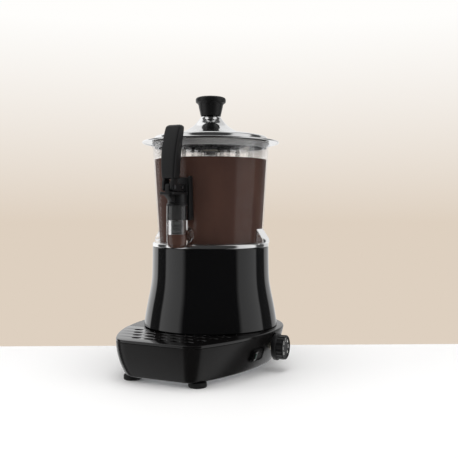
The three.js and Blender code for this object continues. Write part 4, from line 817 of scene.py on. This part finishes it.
def side_lugs_and_socket():
    """What stands out from the wall: a lug at each side, and the ring that takes the tube's stub."""
    pieces = [side_lug(side) for side in (-1, 1)]
    mouth = TUBE_RADIUS + SEAM
    root = -TUBE_Y - 79.4
    socket = eased([(10.4, mouth, 0.3), (12.8, mouth, 0.8), (12.8, root, 0), (7.2, root, 0),
                    (7.2, mouth + 8, 0), (10.4, mouth + 8, 0)])
    pieces.append(about_stub("socket", socket))
    return joined("side_lugs", pieces)


def about_tube(name, profile):
    """A turned form on the outlet tube's upright axis."""
    return turned(name, profile, centre=(0, TUBE_Y, 0), steps=SMALL_ROUND)


def about_stub(name, profile):
    """A turned form on the stub's level axis: heights count from the tube's axis towards the bowl."""
    return turned(name, profile, centre=(0, TUBE_Y, STUB_HEIGHT), along="Y", steps=SMALL_ROUND)


def contents():
    """What fills the bowl: a turned body that wets the wall, with a small rise at its rim."""
    top = CHOCOLATE_TOP
    inner = bowl_radius(top) - BOWL_WALL + WETTING
    low = BOWL_LOW + 0.2
    profile = [
        (0, low), (bowl_radius(low) - BOWL_WALL + WETTING, low),
        (inner, top + 0.9), (inner - 0.8, top + 0.35), (inner - 2.2, top), (0, top),
    ]
    return turned("contents", profile, sharp=50)


dress(bowl(), CLEAR_WALL, "clear_plastic", "bowl", "bowl")
dress(side_lugs_and_socket(), CLEAR, "clear_plastic", "bowl")
dress(joined("rail_bars", [rail(side) for side in (-1, 1)]), MATT, "moulded_black", "bowl")
dress(contents(), CHOCOLATE, "dark_silicone", "bowl")


# Tap


def outlet_tube():
    """The tube: a round-ended thick wall, bored through, with a wider mouth for the sleeve and a stub
    that meets the bowl's socket."""
    low, high, outlet = TUBE_LOW, TUBE_HIGH, TUBE_OUTLET
    step = high - 20.0
    profile = eased([
        (outlet, low, 0.6), (9.4, low, 2.0), (12.6, low + 2.2, 2.5), (14.3, low + 6.2, 3.0),
        (TUBE_RADIUS, low + 11.0, 3.0), (TUBE_RADIUS, high, 0.8), (MOUTH_RADIUS, high, 0.4),
        (MOUTH_RADIUS, step, 0.4), (TUBE_BORE, step, 0.4), (TUBE_BORE, low + 5.5, 0.5),
        (outlet, low + 2.5, 0.5),
    ], steps=9)
    start, end = TUBE_RADIUS - 0.6, TUBE_RADIUS + 7.6
    stub = eased([(STUB_BORE, start, 0), (STUB_RADIUS, start, 0), (STUB_RADIUS, end, 0.6),
                  (STUB_BORE, end, 0.4)])
    return joined("tube_clear", [about_tube("tube_body", profile), about_stub("tube_stub", stub)])


def tap_contents():
    """Chocolate that stands in the tube below the piston, and in the stub."""
    low, top = TUBE_LOW, PISTON_LOW - 0.4
    bore, feed = TUBE_BORE + WETTING, STUB_BORE + WETTING
    upright = [(0, low + 2.0), (TUBE_OUTLET + WETTING, low + 2.4), (bore, low + 5.4), (bore, top), (0, top)]
    across = [(0, 8.5), (feed, 8.5), (feed, 28.4), (0, 28.4)]
    return joined("tap_contents", [about_tube("drop", upright), about_stub("feed", across)])


def tap_body():
    """The body: a sleeve in the tube's mouth, a ledge under the lever with a gusset and an ear for its pin,
    and a block that slides between the rails."""
    radius = SLEEVE_RADIUS
    low, cap = TUBE_HIGH - 19.7, LEDGE_LOW
    seat, collar = TUBE_HIGH + SEAM, TUBE_HIGH + 3.3
    sleeve = about_tube("sleeve", eased([
        (9.0, low, 0.3), (radius, low, 0.5), (radius, seat, 0), (14.4, seat, 0.5), (14.4, collar, 0.8),
        (radius, collar, 0.4), (radius, cap + 1, 0), (3.3, cap + 1, 0), (3.3, cap - 4, 0), (9.0, cap - 4, 0),
    ]))
    half, back, front = BLOCK_HALF_WIDTH, BLOCK_BACK, BLOCK_FRONT
    wide, step, tip = 11, -94.4, -139
    ledge = eased([
        (-half, back, 1), (-half, step, 0.5), (-wide, step, 1), (-wide, tip, 6),
        (wide, tip, 6), (wide, step, 1), (half, step, 0.5), (half, back, 1),
    ])
    gusset = eased([(-115.5, collar, 0), (-118.9, collar, 0.5), (-136.5, 254.4, 1), (-115.5, 254.4, 0)])
    round_end, root = 5.2, 256
    near, far, top = PIVOT_Y + round_end, PIVOT_Y - round_end, PIVOT_Z + round_end
    ear = eased([(near, root, 0), (near, top, round_end), (far, top, round_end), (far, root, 0)], steps=9)
    block = eased([(-half, back, 2), (-half, front, 2), (half, front, 2), (half, back, 2)])
    web = eased([(-4.9, -96, 0), (4.9, -96, 0), (4.9, -88.9, 0), (-4.9, -88.9, 0)])
    return joined("tap_moulding", [
        sleeve,
        plate("ledge", [ledge], LEDGE_LOW, LEDGE_HIGH, 0.8),
        plate("gusset", [gusset], -3.8, 3.8, 0.5, SIDE_ON),
        plate("ear", [ear], -3.4, 3.4, 0.6, SIDE_ON),
        plate("block", [block], BLOCK_LOW, BLOCK_HIGH, 1.4),
        plate("web", [web], collar, 254.5, 0.2),
    ])


def piston():
    """The piston with a groove for each ring, its thin stem, and the flat head that takes the cross pin."""
    low, high, radius = PISTON_LOW, PISTON_HIGH, PISTON_RADIUS
    points = [(0, low, 0), (radius, low, 0.5)]
    for ring in RING_LOWS:
        end = ring + RING_HEIGHT
        points += [(radius, ring, 0.2), (RING_GROOVE, ring, 0), (RING_GROOVE, end, 0), (radius, end, 0.2)]
    points += [(radius, high - 1.2, 0.5), (7.1, high, 0.5), (3.0, high, 0), (3.0, 262.0, 0), (0, 262.0, 0)]
    stem = about_tube("stem", eased(points))
    front, back = TUBE_Y - 4, TUBE_Y + 4
    head = eased([(front, 259.0, 1), (back, 259.0, 1), (back, 270.0, 3), (front, 270.0, 3)])
    return joined("piston_moulding", [stem, plate("head", [head], -3.4, 3.4, 0.6, SIDE_ON)])


def ring_profile(low):
    """A piston ring's section: square in its groove and round towards the bore."""
    root, start, end = RING_GROOVE + 0.05, low + 0.05, low + RING_HEIGHT - 0.05
    return eased([(root, start, 0), (PISTON_RADIUS, start, 0.2), (PISTON_RADIUS + 0.2, low + 1.2, 1),
                  (PISTON_RADIUS, end, 0.2), (root, end, 0)])


def spring():
    """One round wire along a helix: the coil's angle grows evenly with its height."""
    angle = np.linspace(0, FULL * SPRING_TURNS, SPRING_TURNS * 40)
    height = np.linspace(SPRING_LOW, SPRING_HIGH, len(angle))
    out = np.column_stack([np.cos(angle), np.sin(angle), 0 * angle])
    centre = SPRING_RADIUS * out + np.column_stack([0 * angle, 0 * angle + TUBE_Y, height])
    rise = np.array([0, 0, 1.0])
    around = np.linspace(0, FULL, 12, endpoint=False)[None, :, None]
    section = np.cos(around) * out[:, None] + np.sin(around) * rise
    return loft("coil", centre[:, None] + SPRING_WIRE * section)


dress(outlet_tube(), CLEAR, "clear_plastic", "bowl", "outlet_tube")
dress(tap_contents(), CHOCOLATE, "dark_silicone", "bowl")
dress(tap_body(), MATT, "moulded_black", "bowl", "tap_body")
dress(piston(), PISTON, "moulded_black", "piston", "tap_piston")
for node, ring_low in zip(("lower_piston_ring", "upper_piston_ring"), RING_LOWS):
    dress(about_tube(node + "_form", ring_profile(ring_low)), RUBBER, "black_rubber", "piston", node)
plug_low, plug_high = PISTON_LOW - 14.9, PISTON_LOW - SEAM
plug = eased([(0, plug_low, 0), (4.5, plug_low, 0.8), (PISTON_RADIUS, plug_low + 4.6, 1),
              (PISTON_RADIUS, plug_high, 0.8), (0, plug_high, 0)])
dress(about_tube("plug", plug), BROWN_SEAL, "dark_silicone", "piston", "piston_seal")
coil = dress(spring(), BRUSHED, "brushed_steel", "piston", "tap_spring")
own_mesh(coil)


# Lever


def lever():
    """Two cheeks, and a grip whose sections are squared ovals that swell and thin along its height."""
    y, z, eye = PIVOT_Y, PIVOT_Z, LEVER_EYE
    cheek = eased([
        (y - eye, z - eye, eye), (y + 29.5, z - eye, 1.5), (y + 29.5, z - 3, 0.5), (y + 20, z - 3, 3),
        (y + 20, z + 3, 3), (y + 29.5, z + 3, 0.5), (y + 29.5, z + eye, 2), (-113.7, z + eye, 0),
        (-119.1, z + eye, 4), (-119.1, 281, 0), (-127.9, 281, 0), (y - eye, z + 8, 4),
    ])
    hole = arc(y, z, 2.3, 0, FULL, 24)[:-1]
    sides = ((4.2, 8.2), (-8.2, -4.2))
    cheeks = [plate("cheek", [cheek, hole], low, high, 0.7, SIDE_ON) for low, high in sides]
    keys = np.column_stack([GRIP_RISES, GRIP_WIDTHS, GRIP_DEPTHS])
    rise, width, depth = smooth_line(keys, 60).T
    rise = np.clip(rise, 0, 1)
    angle = np.linspace(0, FULL, 64, endpoint=False)
    power = 2 / 9
    across = np.sign(np.cos(angle)) * np.abs(np.cos(angle)) ** power
    along = np.sign(np.sin(angle)) * np.abs(np.sin(angle)) ** power
    centre = -(123.5 - 13.2 * rise) - 4.3 * np.sin(math.pi * rise)
    grip = np.stack([
        GRIP_HALF_WIDTH * width[:, None] * across,
        GRIP_HALF_DEPTH * depth[:, None] * along + centre[:, None],
        (GRIP_LOW + GRIP_RISE * rise)[:, None] + 0 * across,
    ], -1)
    return joined("lever_moulding", [*cheeks, loft("grip", grip)])


dress(lever(), MATT, "moulded_black", "lever", "lever")


# Lid and knob


def lid():
    """A spun hat: a smooth line through its shares from crown to brim, a rolled bead at the brim's edge,
    and the same line a sheet's thickness below."""
    shares = smooth_line(list(zip(LID_RADIUS_SHARES, LID_RISE_SHARES)), 110)
    line = shares * (LID_RADIUS - LID_CROWN_RADIUS, LID_CROWN - LID_BRIM) + (LID_CROWN_RADIUS, LID_BRIM)
    bead = arc(LID_RADIUS - LID_BEAD, LID_BRIM - LID_BEAD, LID_BEAD, math.pi / 2, -math.pi, 14)
    under = (line - (0, LID_SHEET))[::-1]
    crown = eased([(0, LID_CROWN, 0), (LID_CROWN_RADIUS, LID_CROWN, 1.0), (*line[3], 0)], closed=False)
    below = [(LID_CROWN_RADIUS - 0.5, LID_CROWN - LID_SHEET), (0, LID_CROWN - LID_SHEET)]
    profile = np.vstack([crown[:-1], line[3:], bead, under[4:], below])
    return turned("lid_hat", profile, sharp=50)


def knob():
    """The knob: a waist below and a rolled rim above, on a smooth line through its shares."""
    low, high = heights("lid_knob")
    widths = smooth_line(list(zip(KNOB_RADIUS_SHARES, KNOB_RISE_SHARES)), 60)
    profile = widths * (widest("lid_knob"), high - low) + (0, low)
    return turned("knob_form", np.vstack([[(0, low)], profile, [(0, high)]]), steps=SMALL_ROUND)


dress(lid(), POLISHED, "polished_steel", "lid", "lid")
skirt_low, skirt_high = heights("lid_skirt")
skirt_low += SKIRT_LIFT
skirt = [(79.4, skirt_low, 0.4), (80.6, skirt_low, 0.4), (80.6, skirt_high, 0), (79.4, skirt_high, 0)]
dress(turned("skirt", eased(skirt)), POLISHED, "polished_steel", "lid", "lid_skirt")
dress(knob(), MATT, "moulded_black", "lid", "lid_knob")
seal_low, _ = heights("lid_seal")
seal_top = LID_BRIM - LID_SHEET - SEAM
seal = [(80.9, seal_low, 0.4), (84.9, seal_low, 0.6), (84.9, BOWL_HIGH + SEAM, 0.2),
        (88.6, BOWL_HIGH + SEAM, 0.6), (88.6, seal_top, 0.3), (80.9, seal_top, 0.3)]
dress(turned("lid_ring", eased(seal)), GREY_SEAL, "black_rubber", "lid", "lid_seal")


# Feet, dial and gland


def foot(node):
    """A rubber foot: a round pad with a peg into the base."""
    low, high = corners(node)
    centre = (low + high) / 2
    reach = (high[0] - low[0]) / 2
    pad, peg, top = 6.7, 4.0, high[2]
    profile = eased([(0, 0, 0), (reach - 0.8, 0, 1), (reach, 2.0, 1.2), (reach - 0.6, pad, 0.8),
                     (peg, pad, 0), (peg, top, 1), (0, top, 0)])
    return turned(node + "_form", profile, centre=(centre[0], centre[1], 0), steps=SMALL_ROUND)


for node in ("foot_front_left", "foot_front_right", "foot_rear_left", "foot_rear_right"):
    dress(foot(node), RUBBER, "black_rubber", "base", node)


def dial():
    """The dial: its radius dips between ribs with the cosine of the angle, and its edges are rounded."""
    (back, low_y, low_z), (_, high_y, high_z) = corners("dial_knob")
    centre_y, centre_z = (low_y + high_y) / 2, (low_z + high_z) / 2
    profile = eased([
        (0, 0, 0), (19.0, 0, 0.8), (19.5, 1.2, 1), (19.5, 5.6, 1.2), (17.6, 6.6, 0.8), (17.8, 15.2, 1.2),
        (17.2, 17.0, 1.6), (15.3, 17.0, 0.6), (15.0, DIAL_FACE, 0.4), (0, DIAL_FACE, 0),
    ])
    angle = np.linspace(0, FULL, DIAL_RIBS * 14, endpoint=False)
    radius, along = profile[:, :1], profile[:, 1:]
    ribbed = (radius > 16.6) & (along > 7) & (along < 16.6)
    dip = np.where(ribbed, 0.9 * (0.5 + 0.5 * np.cos(angle * DIAL_RIBS)) ** 0.7, 0)
    reach = radius - dip
    grid = np.stack([back + along + 0 * angle, centre_y + reach * np.cos(angle),
                     centre_z + reach * np.sin(angle)], -1)
    return skin("dial_form", grid, sharp=45)


def figure(text, turn):
    """A raised figure on the dial's face, at an angle about its axis."""
    y = FIGURE_Y + FIGURE_REACH * math.cos(turn)
    z = FIGURE_Z + FIGURE_REACH * math.sin(turn)
    words = bpy.data.curves.new("figure", "FONT")
    words.body = text
    words.size = FIGURE_SIZE
    words.align_x = "CENTER"
    words.align_y = "CENTER"
    words.extrude = 0.12
    return from_curve("figure", words, 0, Matrix.Translation((FIGURE_X, y, z)) @ SIDE_ON)


dress(dial(), MATT, "moulded_black", "dial", "dial_knob")
figures = [figure(text, math.radians(FIRST_FIGURE - FIGURE_STEP * i)) for i, text in enumerate("0123456")]
dress(joined("dial_figures", figures), MARKING, "pale_silicone", "dial")

gland = eased([(3.5, -14, 0), (6.4, -14, 0.5), (6.4, 0, 0), (9.5, 0, 0.4), (9.5, 3, 1.2), (6.5, 3, 0.6),
               (6.0, 11, 1.4), (3.5, 11, 0.8)])
gland = turned("gland", gland, centre=(0, GLAND_FACE, GLAND_HEIGHT), along="Y", steps=SMALL_ROUND)
dress(gland, MATT, "moulded_black", "base", "cable_gland")


# CAD pieces that keep their form


FINISHES = {
    "satin_black": SATIN, "gloss_black": GLOSS, "moulded_black": MATT, "black_rubber": RUBBER,
    "polished_steel": POLISHED, "brushed_steel": BRUSHED, "zinc_steel": ZINC, "clear_plastic": CLEAR,
    "pale_silicone": SILICONE, "dark_silicone": BROWN_SEAL, "pale_resin": RESIN, "green_lens": LENS,
}
PINS = ("lever_pin", "piston_cross_pin")
for subpart in frame["record"]["subparts"]:
    node = frame["nodes"][subpart["node"]]
    node.data.materials.clear()
    finish = DULL if subpart["node"] in PINS else FINISHES[subpart["material_slot"]]
    node.data.materials.append(finish)


# World, floor, lamps and camera


# Reflected surroundings round the object: (share of a turn from the camera's back, brightness)
SURROUNDINGS = (
    (0.0, 0.62), (0.055, 0.62), (0.065, 0.8), (0.145, 0.8), (0.155, 0.05), (0.225, 0.05), (0.235, 0.75),
    (0.34, 0.6), (0.365, 0.03), (0.635, 0.03), (0.655, 0.5), (0.77, 0.65), (0.78, 0.05), (0.855, 0.05),
    (0.865, 0.5), (0.93, 0.5), (0.945, 0.62), (1.0, 0.62),
)
SURROUND_LEVEL = 1.5
EVEN_LIGHT = 0.75
BACKDROP_FOOT, BACKDROP_HEAD = srgb(222, 208, 192), srgb(255, 254, 252)
BACKDROP_RISE = (-0.02, 0.26)

# The camera's side, level, and in metres the table's reach behind the bowl's axis and its half width
TOWARDS_CAMERA = (0.4459, -0.8951)
TABLE_REACH = 0.12
TABLE_BLUR = 0.004
TABLE_HALF = 6.0
LAMP_AIM = (0, 0, 0.2)


def world():
    """Pale to the camera and through the clear parts, panels and gaps in reflections, and even as light."""
    finish = Finish(bpy.data.worlds.new("studio"))
    look = finish.node("ShaderNodeTexCoord", output="Generated")
    x, y, height = (finish.part(look, axis) for axis in range(3))
    cx, cy = TOWARDS_CAMERA
    turn = (y * cx - x * cy).math("ARCTAN2", x * cx + y * cy)
    stops = [(share, (level, level, level, 1)) for share, level in SURROUNDINGS]
    panels = finish.node("ShaderNodeValToRGB", {"stops": stops}, {0: turn / FULL + 0.5})
    backdrop = finish.blend(finish.ramp(height, *BACKDROP_RISE), BACKDROP_FOOT, BACKDROP_HEAD)
    pale = finish.node("ShaderNodeBackground", None, {"Color": backdrop, "Strength": 1.0})
    light = finish.node("ShaderNodeBackground", None, {"Color": (1, 0.99, 0.98, 1), "Strength": EVEN_LIGHT})
    room = finish.node("ShaderNodeBackground", None, {"Color": panels, "Strength": SURROUND_LEVEL})
    mixed = finish.mix(finish.ray("Glossy"), light, room)
    mixed = finish.mix(finish.ray("Transmission"), mixed, pale)
    bpy.context.scene.world = finish.output(finish.mix(finish.ray("Camera"), mixed, pale))


def floor():
    """A white table. Beyond a line behind the machine the camera sees the backdrop instead."""
    sides = ((-1, -1), (1, -1), (1, 1), (-1, 1))
    mesh = bpy.data.meshes.new("floor")
    mesh.from_pydata([(TABLE_HALF * x, TABLE_HALF * y, 0) for x, y in sides], [], [(0, 1, 2, 3)])
    ground = bpy.data.objects.new("floor", mesh)
    bpy.context.scene.collection.objects.link(ground)
    ground.visible_glossy = False
    finish = Finish(bpy.data.materials.new("floor"))
    x, y = finish.part(finish.place(), 0), finish.part(finish.place(), 1)
    cx, cy = TOWARDS_CAMERA
    behind = x * -cx + y * -cy
    start = (-AXIS[0] * cx - AXIS[1] * cy) * MM + TABLE_REACH
    share = finish.ramp(behind, start, start + TABLE_BLUR)
    tone = finish.noise(3.0, 2.0)
    white = finish.blend(tone, (0.93, 0.93, 0.93, 1), (0.95, 0.95, 0.95, 1))
    table = finish.surface({"Roughness": 0.7}, {"Base Color": white})
    clear = finish.node("ShaderNodeBsdfTransparent")
    mesh.materials.append(finish.output(finish.mix(share * finish.ray("Camera"), table, clear)))


def softbox(name, place, width, height, power):
    """A soft lamp that looks at the machine's middle. No gloss shows it."""
    data = bpy.data.lights.new(name, "AREA")
    data.shape = "RECTANGLE"
    data.size, data.size_y = width, height
    data.energy = power
    lamp = bpy.data.objects.new(name, data)
    lamp.visible_glossy = False
    look = (Vector(LAMP_AIM) - Vector(place)).to_track_quat("-Z", "Y")
    lamp.matrix_world = Matrix.Translation(Vector(place)) @ look.to_matrix().to_4x4()
    bpy.context.scene.collection.objects.link(lamp)


def camera():
    """The photograph's viewpoint."""
    data = bpy.data.cameras.new("camera")
    data.lens = CAMERA_LENS
    data.sensor_width = 36.0
    holder = bpy.data.objects.new("camera", data)
    turn = CAMERA_LOOK.to_track_quat("-Z", "Y") @ Matrix.Rotation(CAMERA_ROLL, 4, "Z").to_quaternion()
    place = Matrix.Translation((CAMERA_PLACE + Vector(AXIS)) * MM)
    holder.matrix_world = place @ turn.to_matrix().to_4x4()
    bpy.context.scene.collection.objects.link(holder)
    bpy.context.scene.camera = holder


bpy.context.scene.view_settings.view_transform = "Standard"
world()
floor()
camera()
softbox("left_box", (-1.5, -1.1, 0.8), 0.8, 1.5, 7)
softbox("right_box", (1.8, 0.1, 0.8), 0.8, 1.5, 6)
softbox("top_box", (0.1, -0.2, 1.8), 1.4, 1.4, 12)
